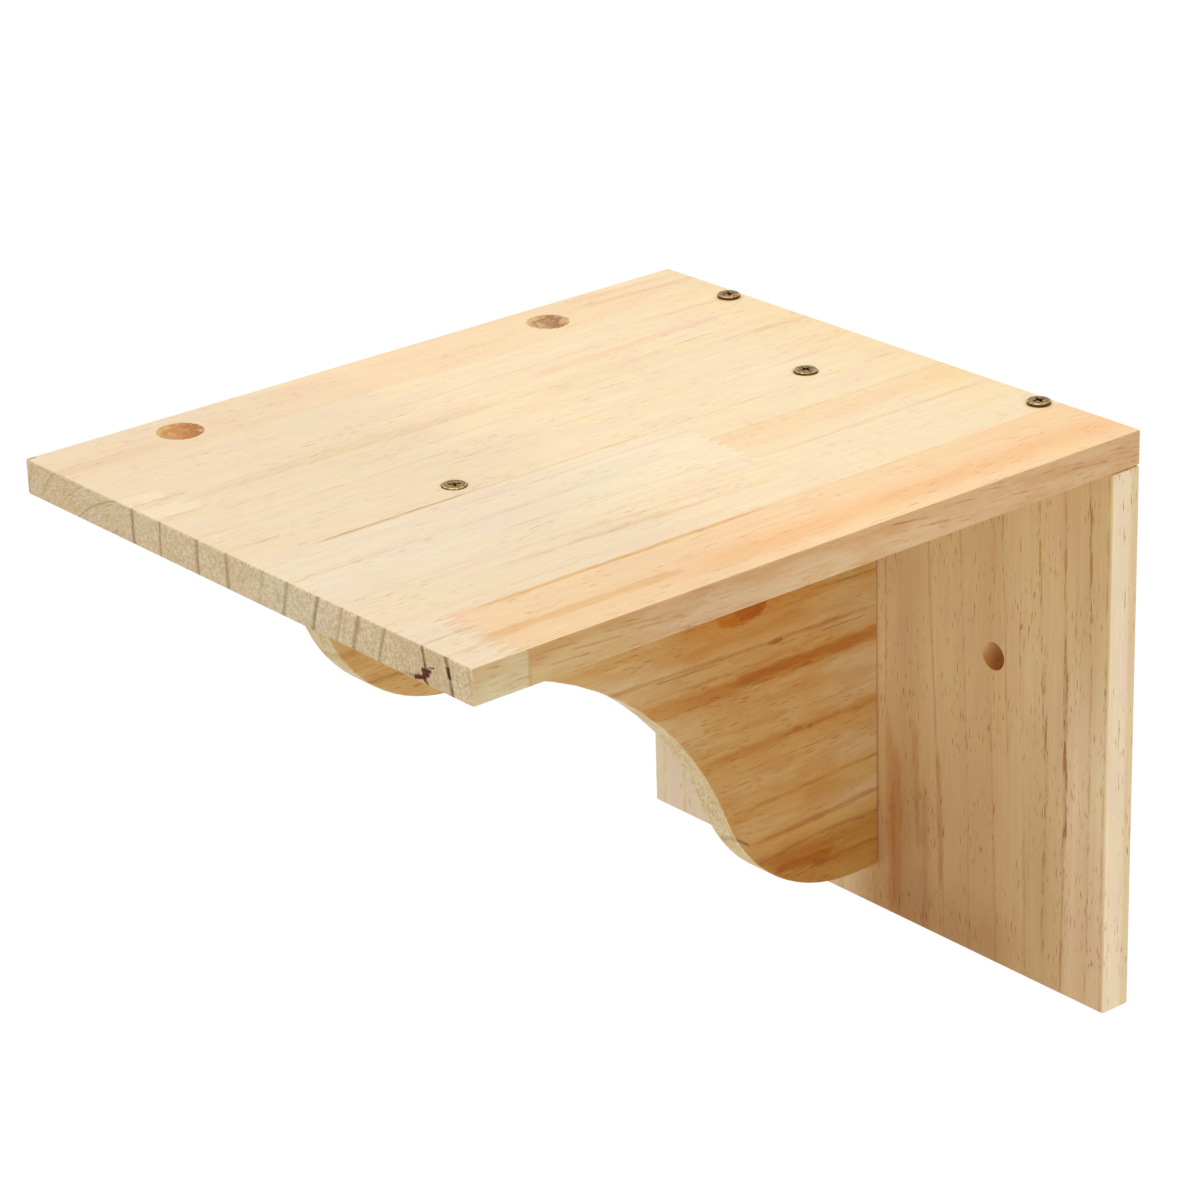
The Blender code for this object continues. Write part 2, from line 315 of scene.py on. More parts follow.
def grain_streak():
    """One streak of other wood along the grain, thinned out at both its ends."""
    bench, given, result = shared_effect(
        "grain_streak",
        ("Across", "Along", "Centre", "Start", "End", "Drift", "Width", "Broken", "Breaks"),
        ("Streak",),
    )
    travel = bench.stretch(given["Along"], given["Start"], given["End"])
    fade = bench.product(bench.ease(travel, 0.0, 0.16), bench.ease(travel, 1.0, 0.84))
    centre = bench.total(given["Centre"], bench.product(given["Drift"], travel))
    ragged = bench.stretch(given["Breaks"], 0.3, 0.7, 0.6, 1.4)
    width = bench.product(given["Width"], ragged, bench.stretch(fade, 0.0, 1.0, 0.35, 1.0))
    share = bench.calc("DIVIDE", bench.aside(given["Across"], centre), width)
    gaps = bench.product(given["Broken"], bench.ease(given["Breaks"], 0.58, 0.50))
    whole = bench.less(1.0, gaps)
    bench.feed(result["Streak"], bench.product(bench.ease(share, 1.0, 0.25), fade, whole))
    return bench.tree


def round_knot():
    """A branch cut across: a disc with a ragged rim and a mottled heart."""
    bench, given, result = shared_effect(
        "round_knot",
        ("Across", "Along", "Centre Across", "Centre Along", "Radius", "Flatness", "Ragged"),
        ("Disc", "Rim", "Turn", "Mottle"),
    )
    across = bench.less(given["Across"], given["Centre Across"])
    along = bench.less(given["Along"], given["Centre Along"])
    squeezed = bench.product(across, given["Flatness"])
    place = bench.point(squeezed, along, given["Radius"])
    tear = bench.less(bench.noise(place, detail=4.0, roughness=0.65, scale=0.6), 0.5)
    share = bench.calc("DIVIDE", bench.length(squeezed, along), given["Radius"])
    rough = bench.total(share, bench.product(tear, given["Ragged"]))
    bench.feed(result["Disc"], bench.ease(rough, 1.05, 0.93))
    rim = bench.product(bench.ease(rough, 0.82, 0.96), bench.ease(rough, 1.10, 1.0))
    bench.feed(result["Rim"], rim)
    turned = bench.total(bench.product(across, 0.64), bench.product(along, 0.77))
    bench.feed(result["Turn"], bench.calc("DIVIDE", turned, given["Radius"]))
    bench.feed(result["Mottle"], bench.noise(place, detail=7.0, roughness=0.68, scale=0.24))
    return bench.tree


def finger_joint():
    """A zigzag end joint: which side of it a place is on, and its glue line."""
    bench, given, result = shared_effect(
        "finger_joint", ("Across", "Along", "Start", "Pitch", "Length"), ("Beyond", "Glue")
    )
    half = bench.product(given["Pitch"], 0.5)
    rise = bench.calc("DIVIDE", given["Length"], half)
    tooth = bench.product(bench.calc("PINGPONG", given["Across"], half), rise)
    edge = bench.less(given["Start"], tooth)
    past = bench.less(edge, given["Along"])
    bench.feed(result["Beyond"], bench.ease(past, -0.4, 0.4))
    apart = bench.calc("DIVIDE", bench.calc("ABSOLUTE", past), rise)
    bench.feed(result["Glue"], bench.ease(apart, 0.24, 0.05))
    return bench.tree


def round_bore():
    """A hole or a screw head: what lies inside it, and the ring round it where the fibres are
    pressed down, in painted contact shade.
    """
    bench, given, result = shared_effect(
        "round_bore",
        ("Across", "Along", "Centre Across", "Centre Along", "Radius"),
        ("Inside", "Crushed And Shaded"),
    )
    across = bench.less(given["Across"], given["Centre Across"])
    along = bench.less(given["Along"], given["Centre Along"])
    past = bench.less(bench.length(across, along), given["Radius"])
    bench.feed(result["Inside"], bench.ease(past, 0.35, 0.15))
    bench.feed(result["Crushed And Shaded"], bench.ease(past, 1.5, 0.4))
    return bench.tree


def cut_faces():
    """Which way a face was cut from its board, and where an edge was eased."""
    bench, given, result = shared_effect(
        "cut_faces", ("Normal",), ("X Face", "Y Face", "Z Face", "Eased")
    )
    sizes = [bench.calc("ABSOLUTE", part) for part in bench.split(given["Normal"])]
    for label, size in zip(("X Face", "Y Face", "Z Face"), sizes):
        bench.feed(result[label], bench.ease(size, 0.55, 0.85))
    most = bench.calc("MAXIMUM", bench.calc("MAXIMUM", sizes[0], sizes[1]), sizes[2])
    bench.feed(result["Eased"], bench.ease(most, 0.995, 0.85))
    return bench.tree


def pine_detail():
    """Fine fibres, soft patches, resin ducts and the pits of end grain over a tone."""
    bench, given, result = shared_effect(
        "pine_detail",
        (
            "Colour", "Fibre", "Patches", "Clouds", "Ducts", "Pits", "End Grain",
            "Fibre Strength", "Patch Strength", "Duct Strength", "Duct Tint",
        ),
        ("Colour",),
    )
    grain = bench.mix(bench.stretch(given["Fibre"], 0.3, 0.7), GRAIN_DARK, GRAIN_PALE)
    colour = bench.tint(given["Fibre Strength"], given["Colour"], grain)
    patch = bench.mix(given["Patches"], PATCH_ROSY, PATCH_YELLOW)
    colour = bench.tint(given["Patch Strength"], colour, patch)
    colour = bench.tint(bench.ease(given["Clouds"], 0.40, 0.65), colour, CLOUDED)
    ducts = bench.product(given["Ducts"], given["Duct Strength"])
    colour = bench.tint(ducts, colour, given["Duct Tint"])
    coarse = bench.stretch(given["Fibre"], 0.36, 0.64)
    coarse = bench.mix(coarse, END_GRAIN_DARK, END_GRAIN_PALE)
    colour = bench.tint(bench.product(given["End Grain"], 0.9), colour, coarse)
    pits = bench.product(given["Pits"], given["End Grain"])
    bench.feed(result["Colour"], bench.tint(pits, colour, PITTED))
    return bench.tree


def sanded_wood():
    """Sanded wood: a painted highlight along eased edges, a dull sheen, and fibres, ducts and
    pits in relief.
    """
    bench, given, result = shared_effect(
        "sanded_wood",
        ("Colour", "Fibre", "Breaks", "Ducts", "Pits", "End Grain", "Eased"),
        ("Colour", "Roughness", "Relief"),
    )
    # A painted highlight along the eased edges, broken up by the grain
    painted_highlight = bench.product(given["Eased"], bench.ease(given["Breaks"], 0.35, 0.6))
    bench.feed(result["Colour"], bench.tint(painted_highlight, given["Colour"], EDGE_HIGHLIGHT))
    dull = bench.stretch(given["Fibre"], 0.3, 0.7, 0.50, 0.64)
    bench.feed(result["Roughness"], bench.total(dull, bench.product(given["End Grain"], 0.12)))
    pits = bench.product(given["Pits"], given["End Grain"], 1.5)
    dents = bench.total(bench.product(given["Ducts"], 1.2), pits)
    bench.feed(result["Relief"], bench.less(given["Fibre"], dents))
    return bench.tree


def bronze_stain():
    """Dark bronze plating, mottled on the flat of a head and darker round its side."""
    bench, given, result = shared_effect(
        "bronze_stain", ("Place", "Facing"), ("Colour", "Stain", "Roughness")
    )
    stain = bench.noise(given["Place"], detail=5.0, roughness=0.7, scale=1.1)
    bench.feed(result["Stain"], stain)
    flat = bench.ramp(stain, STAIN_TONES)
    colour = bench.mix(bench.ease(given["Facing"], 0.15, 0.4), BRONZE_SIDE, flat)
    bench.feed(result["Colour"], colour)
    bench.feed(result["Roughness"], bench.stretch(stain, 0.3, 0.7, 0.28, 0.46))
    return bench.tree


def head_cross_and_highlight():
    """One head: black down in its cross, and a painted highlight on its rim."""
    bench, given, result = shared_effect(
        "head_cross_and_highlight", ("Colour", "Stain", "Facing", "Reach", "Sunk"), ("Colour",)
    )
    cross = bench.window(given["Reach"], CROSS_REACH)
    cross = bench.product(cross, bench.ease(given["Sunk"], 0.15, 0.5))
    colour = bench.mix(cross, given["Colour"], BRONZE_CROSS)
    # A painted highlight on the rim, in spots
    rim = bench.window(given["Reach"], RIM_REACH)
    rim = bench.product(rim, bench.calc("LESS_THAN", given["Reach"], HEAD_REACH))
    level = bench.ease(given["Facing"], 0.3, 0.5)
    spotted = bench.ease(given["Stain"], 0.35, 0.6)
    painted_highlight = bench.product(rim, level, spotted, 0.8)
    bench.feed(result["Colour"], bench.mix(painted_highlight, colour, BRONZE_RIM_HIGHLIGHT))
    return bench.tree


# A screw's head, in mm from its middle: where its cross ends, where its rim starts,
# and what still counts as this head
CROSS_REACH, RIM_REACH, HEAD_REACH = (2.9, 2.6), (3.3, 3.7), 5.0
# Tones of the bronze: stains on the flat of a head, its side, its cross and the painted highlight
# on its rim
STAIN_TONES = (
    (0.38, (0.08, 0.038, 0.005)), (0.53, (0.28, 0.165, 0.04)), (0.67, (0.64, 0.43, 0.14)),
)
BRONZE_SIDE = (0.13, 0.075, 0.022)
BRONZE_CROSS = (0.09, 0.034, 0.003)
BRONZE_RIM_HIGHLIGHT = (0.78, 0.57, 0.30)

PINE_FIGURE = pine_figure()
GRAIN_STREAK = grain_streak()
ROUND_KNOT = round_knot()
FINGER_JOINT = finger_joint()
ROUND_BORE = round_bore()
CUT_FACES = cut_faces()
PINE_DETAIL = pine_detail()
SANDED_WOOD = sanded_wood()
BRONZE_STAIN = bronze_stain()
HEAD_CROSS_AND_HIGHLIGHT = head_cross_and_highlight()

# The window of a broad tint that isn't bound in that direction
ANYWHERE = None


def tone_stops(low, high, tones):
    """Ramp stops for the broad tones across a board, placed in mm."""
    return [((place - low) / (high - low), tone) for place, tone in tones]


def ring_stops(low, high, lines):
    """Ramp stops for growth rings: (place, soft side, crisp side, tint), in mm."""
    span = high - low
    stops = [(0.0, CLEAR)]
    for place, soft, crisp, tint in sorted(lines):
        for spot, colour in ((place - soft, CLEAR), (place, tint), (place + crisp, CLEAR)):
            stops.append((max((spot - low) / span, stops[-1][0] + 0.0005), colour))
    return stops


def growth_rings(bench, place, low, high, lines):
    """The tint of growth rings at a place: up to ten rings to a ramp."""
    tint = None
    for first in range(0, len(lines), 10):
        ramp = bench.ramp(place, ring_stops(low, high, lines[first:first + 10]))
        tint = ramp if tint is None else bench.tint(1.0, tint, ramp)
    return tint


def lay_streaks(bench, colour, across, along, breaks, streaks):
    """Streaks: (centre, start, end, drift, half width, broken, strength, tint)."""
    for centre, start, end, drift, width, broken, strength, tint in streaks:
        feeds = {
            "Across": across, "Along": along, "Centre": centre, "Start": start, "End": end,
            "Drift": drift, "Width": width, "Broken": broken, "Breaks": breaks,
        }
        streak = bench.group(GRAIN_STREAK, feeds)["Streak"]
        colour = bench.tint(bench.product(streak, strength), colour, tint)
    return colour


def round_place(across, along, middle_across, middle_along, radius):
    """What a round effect is given: the place on its board, its middle and its radius."""
    return {
        "Across": across, "Along": along, "Centre Across": middle_across,
        "Centre Along": middle_along, "Radius": radius,
    }


def lay_tints(bench, colour, first, second, mask, tints):
    """Broad tints: (window of the first value, of the second, tint)."""
    for *bounds, tint in tints:
        windows = [
            bench.window(value, bound)
            for value, bound in zip((first, second), bounds) if bound is not ANYWHERE
        ]
        colour = bench.tint(bench.product(*windows, mask), colour, tint)
    return colour


def piece_material(name):
    """A material: its bench, its shader, its place in mm and its normal."""
    material = bpy.data.materials.new(name)
    material.use_nodes = True
    bench = NodeBench(material.node_tree)
    shader = material.node_tree.nodes["Principled BSDF"]
    spot = bench.node("ShaderNodeTexCoord")
    scaled = {0: spot.outputs["Object"], 3: 1.0 / MM}
    place = bench.node("ShaderNodeVectorMath", scaled, operation="SCALE").outputs[0]
    return material, bench, shader, bench.split(place), spot.outputs["Normal"]


def detailed(bench, colour, figure, end, detail):
    """A board's tone with its own strengths of the fine detail over it."""
    feeds = {name: figure[name] for name in ("Fibre", "Patches", "Clouds", "Ducts", "Pits")}
    feeds = {**feeds, **detail, "Colour": colour, "End Grain": end}
    return bench.group(PINE_DETAIL, feeds)["Colour"]


def raise_relief(bench, shader, height, depth):
    """Relief of a depth in mm on a shader's surface."""
    feeds = {"Height": height, "Distance": depth * MM, "Strength": 1.0}
    relief = bench.node("ShaderNodeBump", feeds)
    bench.feed(shader.inputs["Normal"], relief.outputs["Normal"])


def sand(bench, shader, colour, figure, end, eased):
    """Give a board's shader the finish of sanded wood."""
    feeds = {name: figure[name] for name in ("Fibre", "Breaks", "Ducts", "Pits")}
    feeds = {**feeds, "Colour": colour, "End Grain": end, "Eased": eased}
    wood = bench.group(SANDED_WOOD, feeds)
    bench.feed(shader.inputs["Base Color"], wood["Colour"])
    bench.feed(shader.inputs["Roughness"], wood["Roughness"])
    shader.inputs["Specular IOR Level"].default_value = SANDED_SHINE
    raise_relief(bench, shader, wood["Relief"], WOOD_RELIEF)


# Broad tones across the deck, (x, tone), and those of its pieced ends
DECK_TONES = (
    (-114.0, CREAM), (-100.0, STRAW), (-88.0, STRAW), (-84.0, CREAM), (6.0, CREAM),
    (12.0, BUTTER), (35.0, BUTTER), (60.0, CREAM), (79.0, CREAM), (80.0, MELON),
    (92.0, MELON), (99.0, APRICOT), (105.0, APRICOT), (110.0, MELON),
)
DECK_JOINED_TONES = (
    (24.5, CREAM), (27.5, HONEYED), (37.0, HONEYED), (44.0, CREAM), (79.0, CREAM),
    (80.5, BUTTER), (114.0, CREAM),
)
# Growth rings on the deck: (x, soft side, crisp side, tint)
DECK_RINGS = (
    (-46.5, 5.0, 1.2, FAINT), (-34.0, 1.8, 0.7, FAINT), (-18.0, 1.6, 0.5, FAINT),
    (-11.0, 1.6, 0.6, FAINT), (15.2, 1.8, 0.6, FAINT), (27.3, 1.8, 0.6, FAINT),
    (52.0, 1.6, 0.5, FAINT), (55.2, 1.2, 0.5, FAINT), (74.3, 1.8, 0.6, FAINT),
    (88.5, 1.5, 0.8, FAINT),
)
DECK_JOINED_RINGS = (
    (-54.0, 1.0, 0.5, BROWN), (-39.3, 2.6, 0.7, TAN), (-19.8, 2.4, 0.7, TAN),
    (-4.0, 1.4, 0.6, BROWN), (26.2, 2.2, 0.5, TAN), (48.0, 2.0, 0.6, TAN),
    (90.7, 1.0, 0.6, BROWN), (102.2, 1.0, 0.6, RUST),
)
# The same rings in the deck's end grain, where they are thin and dark
DECK_END_RINGS = (
    (-109.0, 1.2, 0.4, BROWN), (-96.5, 1.4, 0.4, BROWN), (-80.0, 1.0, 0.3, TAN),
    (-62.3, 1.6, 0.5, BROWN), (-33.0, 1.2, 0.4, BROWN), (-19.0, 1.4, 0.4, BROWN),
    (-6.0, 1.2, 0.4, UMBER), (15.2, 1.6, 0.6, TAN), (27.3, 1.4, 0.6, UMBER),
    (41.8, 1.5, 0.8, UMBER), (53.5, 1.3, 0.6, BROWN), (56.5, 0.8, 0.4, TAN),
    (62.0, 2.0, 0.6, UMBER), (74.3, 1.4, 0.6, UMBER), (88.0, 1.2, 0.4, UMBER),
    (97.0, 1.2, 0.4, BROWN), (106.0, 1.2, 0.4, BROWN),
)
DECK_END_JOINED_RINGS = (
    (-54.0, 1.3, 0.8, (0.26, 0.17, 0.06)), (-39.0, 0.9, 0.5, UMBER), (-19.8, 1.3, 0.7, UMBER),
    (-4.0, 1.3, 0.8, UMBER), (13.5, 1.4, 0.6, BROWN), (25.2, 1.3, 0.6, UMBER),
    (35.2, 1.2, 0.4, BROWN), (47.8, 1.0, 0.4, UMBER), (60.0, 1.2, 0.4, BROWN),
    (71.0, 1.0, 0.4, UMBER), (90.7, 0.7, 0.5, UMBER), (102.2, 0.9, 0.6, UMBER),
    (112.0, 0.8, 0.5, RUST),
)
# Streaks on the deck: (x, first y, last y, drift, half width, broken, strength, tint).
# The renderer holds only so many in one material: with its side streaks and resin
# marks the deck has 43, and with 64 it came out black.
DECK_STREAKS = (
    (-99.5, 10.0, -56.0, -3.5, 2.4, 0.2, 0.6, TAN),
    (-106.5, 12.0, -60.0, -3.0, 1.8, 0.2, 0.25, HONEY),
    (-74.0, 6.0, -48.0, -3.0, 1.5, 0.4, 0.5, TAN),
    (-68.6, -58.0, -176.0, 1.0, 1.0, 0.4, 0.5, TAN),
    (-63.0, -16.0, -112.0, 3.6, 3.8, 0.2, 0.85, (0.985, 0.88, 0.86)),
    (-41.0, 6.0, -30.0, 0.0, 2.2, 0.3, 0.7, ROSE),
    (-51.6, -26.0, -84.0, 3.0, 0.6, 0.6, 0.9, ASH),
    (-42.0, 14.0, -122.0, 0.5, 3.6, 0.3, 0.3, TAN),
    (-49.5, -122.0, -255.0, 0.5, 5.0, 0.4, 0.35, TAN),
    (-24.6, -160.0, -256.0, 0.2, 0.8, 0.5, 0.7, TAN),
    (-95.0, -228.0, -290.0, 0.0, 3.6, 0.3, 0.45, TAN),
    (6.8, 16.0, -120.0, 0.8, 0.6, 0.6, 0.5, HONEY),
    (7.4, -110.0, -206.0, 0.4, 0.7, 0.3, 0.6, HONEY),
    (7.8, -184.0, -250.0, 0.6, 1.0, 0.1, 0.9, (0.72, 0.58, 0.36)),
    (63.5, -138.0, -194.0, -2.5, 2.4, 0.3, 0.5, TAN),
    (42.5, -108.0, -206.0, -4.0, 1.1, 0.4, 0.5, TAN),
    (65.5, -102.0, -226.0, -5.0, 1.7, 0.4, 0.6, TAN),
    (59.0, -118.0, -205.0, -4.0, 1.1, 0.5, 0.5, TAN),
    (28.0, -150.0, -290.0, 0.5, 0.8, 0.5, 0.6, TAN),
    (80.6, -120.0, -254.0, 0.6, 1.2, 0.2, 0.9, HONEY),
    (101.0, -20.0, -112.0, 1.0, 5.0, 0.1, 0.14, HONEY),
    (103.0, -110.0, -178.0, -1.0, 6.0, 0.1, 0.16, HONEY),
    (100.6, -176.0, -262.0, -1.0, 3.2, 0.2, 0.65, HONEY),
    (-90.4, -61.0, -67.5, 0.6, 0.45, 0.0, 0.8, ASH),
    (-113.0, -266.0, -276.0, 0.0, 1.6, 0.3, 0.9, UMBER),
)
# Reddish dashes along the deck's side faces: (z, first y, last y, and the rest alike)
DECK_SIDE_STREAKS = (
    (84.0, -243.0, -226.0, -0.8, 0.50, 0.45, 0.9, RUST),
    (86.4, -236.0, -213.0, -1.6, 0.50, 0.45, 0.9, RUST),
    (88.1, -219.0, -199.0, -1.9, 0.50, 0.55, 0.9, RUST),
    (85.6, -212.0, -196.0, -1.3, 0.45, 0.55, 0.8, RUST),
    (89.3, -110.0, -92.0, -2.0, 0.50, 0.45, 0.9, RUST),
    (85.6, -99.0, -83.0, -1.6, 0.50, 0.45, 0.9, RUST),
    (85.1, -60.0, -40.0, -1.8, 0.50, 0.55, 0.8, RUST),
    (86.2, -33.0, -13.0, -1.9, 0.45, 0.55, 0.8, RUST),
)
# Pale blocks in the front end of the second stave: (first x, last x, the y behind them)
DECK_BLOCKS = ((-62.0, -55.0, -256.0), (-49.6, -40.2, -252.5))

# The rosy cloud round the rear knot: its middle, and how soon it ends across and along
ROSY_X, ROSY_Y, ROSY_ACROSS, ROSY_ALONG = -101.0, -102.0, 0.057, 0.0118
# The front greyed by painted shade: the y where it starts and is full, how far clouds move it
# either way, and how far it starts nearer the front or the wall: (window of x, mm)
GREY_FRONT, GREY_DRIFT = (-125.0, -185.0), 14.0
GREY_SHIFTS = (((-66.0, -92.0), 18.0), ((-45.0, 16.0, 4.0), -12.0))
FRONT_PAINTED_SHADE = (0.908, 0.908, 0.95)
# The right stave turns tan before its pieced end, and the middle is warmer at the wall
TANNED_FRONT = (-152.0, -200.0)
FRONT_TANNED = linear(244, 212, 169)
WARM_REAR, WARM_WIDTH = (-42.0, -6.0), (-88.0, 64.0)
REAR_WARMTH = (1.0, 0.975, 0.90)
GLUE_LINE = (0.84, 0.73, 0.58)
# The deck's figure: how far its rings wander, and how far apart the seeds of its
# staves and of their pieced ends lie
DECK_WANDER, STAVES_APART, PIECES_APART = 1.1, 90.0, 37.0
DECK_DETAIL = {
    "Fibre Strength": 0.8, "Patch Strength": 0.8, "Duct Strength": 0.7,
    "Duct Tint": (0.76, 0.62, 0.46),
}

# What the deck's end and side faces lay over the wood that runs through them; on the side faces
# it is partly painted shade
DECK_END_CUT = (0.93, 0.93, 0.88)
DECK_SIDE_TONE_AND_SHADE = (0.74, 0.665, 0.60)
# Up the sides, ahead of a strip at the wall: the z between both tints, and the y
SIDE_FOOT, SIDE_HEAD = (1.03, 1.08, 1.12), (0.96, 0.92, 0.86)
SIDE_RISE, SIDE_AHEAD = (83.5, 90.0), (-58.0, -88.0)
SIDE_JOINED = (1.04, 1.13, 1.03)
# Just behind the front joint, with its window of y
SIDE_BY_JOINT, JOINT_NEAR = (0.95, 0.94, 0.77), (-192.0, -226.0)
SIDE_PATCH_DARK, SIDE_PATCH_PALE = (0.95, 0.91, 0.78), (1.02, 1.05, 1.14)
# How far the threads on the sides sink for each mm along them, and where they are
# few: within the first distance of a y, and not past the second
THREAD_SLANT, THREADS_FEW = 0.078, (-153.0, 15.0, 45.0)


def deck_staves(bench, x):
    """What sets the deck's staves apart: the lean of their rings, and a seed."""
    low, high = DECK_LOW.x, DECK_HIGH.x
    traits = [
        ((start - low) / (high - low), (lean / LEAN_SPAN + 0.5, seed, 0.0))
        for start, lean, seed in DECK_STAVES
    ]
    code = bench.split(bench.ramp(bench.stretch(x, low, high), traits, "CONSTANT"))
    beyond = bench.calc("MINIMUM", bench.less(x, LEFT_JOINT), 0.0)
    lean = bench.product(bench.less(code[0], 0.5), LEAN_SPAN)
    return bench.total(lean, bench.product(beyond, LEFT_FAN)), code[1]


def deck_joints(bench, x, y, side):
    """Where the staves are pieced, the glue lines there, and the right stave."""
    across = bench.product(bench.total(x, FINGER_SHIFT), bench.less(1.0, side))
    feeds = {"Across": across, "Along": y, "Pitch": FINGER_PITCH}
    shapes = (
        (FRONT_FINGERS, LONG_FINGERS), (FRONT_FINGERS, BLUNT_FINGERS),
        (REAR_FINGERS, SHALLOW_FINGERS),
    )
    front, blunt, rear = (
        bench.group(FINGER_JOINT, {**feeds, "Start": start, "Length": length})
        for start, length in shapes
    )
    second = bench.between(x, LEFT_JOINT, MIDDLE_JOINT)
    third = bench.between(x, MIDDLE_JOINT, RIGHT_JOINT)
    fourth = bench.calc("GREATER_THAN", x, RIGHT_JOINT)
    joined = bench.total(
        bench.product(front["Beyond"], fourth),
        bench.product(blunt["Beyond"], second),
        bench.product(bench.less(1.0, rear["Beyond"]), third),
    )
    glue = bench.total(
        bench.product(front["Glue"], fourth),
        bench.product(blunt["Glue"], second, 0.3),
        bench.product(rear["Glue"], third, 0.35),
    )
    return joined, glue, fourth


def deck_tone(bench, figure, lean, depth, joined, fourth):
    """The deck's broad tones: they follow the rings, but keep to their own staves."""
    low, high = DECK_LOW.x, DECK_HIGH.x
    spread = bench.less(figure["Ring Place"], bench.product(lean, depth))
    kept = bench.calc("MINIMUM", spread, RIGHT_JOINT - JOINT_MARGIN)
    moved = bench.less(bench.calc("MAXIMUM", spread, RIGHT_JOINT + JOINT_MARGIN), kept)
    spread = bench.stretch(bench.total(kept, bench.product(moved, fourth)), low, high)
    return bench.mix(
        joined,
        bench.ramp(spread, tone_stops(low, high, DECK_TONES)),
        bench.ramp(spread, tone_stops(low, high, DECK_JOINED_TONES)),
    )


def deck_rings(bench, figure, joined, end):
    """The deck's growth rings: broken along its faces, dark and thin in its end grain."""
    low, high = DECK_LOW.x, DECK_HIGH.x
    place = bench.stretch(figure["Ring Place"], low, high)
    long_rings, end_rings = (
        bench.mix(
            joined,
            growth_rings(bench, place, low, high, lines),
            growth_rings(bench, place, low, high, joined_lines),
        )
        for lines, joined_lines in (
            (DECK_RINGS, DECK_JOINED_RINGS), (DECK_END_RINGS, DECK_END_JOINED_RINGS),
        )
    )
    broken = bench.ease(figure["Breaks"], 0.36, 0.62, 0.2, 0.85)
    unpitted = bench.ease(figure["Pits"], 0.9, 0.1, 0.4, 0.9)
    long_rings = bench.mix(broken, CLEAR, long_rings)
    return bench.mix(end, long_rings, bench.mix(unpitted, CLEAR, end_rings))


def deck_clouds_and_shade(bench, colour, figure, x, y, joined, fourth):
    """A rosy cloud round the rear knot, painted shade that greys the front, and a warmer end at
    the wall.
    """
    rose = bench.length(
        bench.product(bench.less(x, ROSY_X), ROSY_ACROSS),
        bench.product(bench.less(y, ROSY_Y), ROSY_ALONG),
    )
    colour = bench.mix(bench.ease(rose, 1.08, 0.92, 0.0, 0.8), colour, PEACH)
    drift = bench.total(
        y,
        bench.stretch(figure["Clouds"], 0.3, 0.7, -GREY_DRIFT, GREY_DRIFT),
        *(bench.window(x, bounds, 0.0, shift) for bounds, shift in GREY_SHIFTS),
    )
    colour = bench.tint(bench.window(drift, GREY_FRONT), colour, FRONT_PAINTED_SHADE)
    tanned = bench.product(bench.window(y, TANNED_FRONT), fourth, bench.less(1.0, joined))
    colour = bench.mix(bench.product(tanned, 0.7), colour, FRONT_TANNED)
    rear = bench.product(bench.window(y, WARM_REAR), bench.between(x, *WARM_WIDTH))
    return bench.tint(rear, colour, REAR_WARMTH)


def deck_side(bench, colour, figure, seed, y, z):
    """The deck's side face: reddish dashes and threads over soft patches."""
    dashed = lay_streaks(bench, colour, z, y, figure["Breaks"], DECK_SIDE_STREAKS)
    slant = bench.total(z, bench.product(y, THREAD_SLANT))
    thread = bench.noise(bench.grained(slant, y, seed, 1.1, 0.07), detail=2.0)
    sparse = bench.window(y, THREADS_FEW, 0.2, 0.6)
    thread = bench.product(bench.ease(thread, 0.59, 0.72), sparse)
    dashed = bench.tint(thread, dashed, RUST)
    patchy = bench.mix(figure["Patches"], SIDE_PATCH_DARK, SIDE_PATCH_PALE)
    return bench.tint(0.9, dashed, patchy)


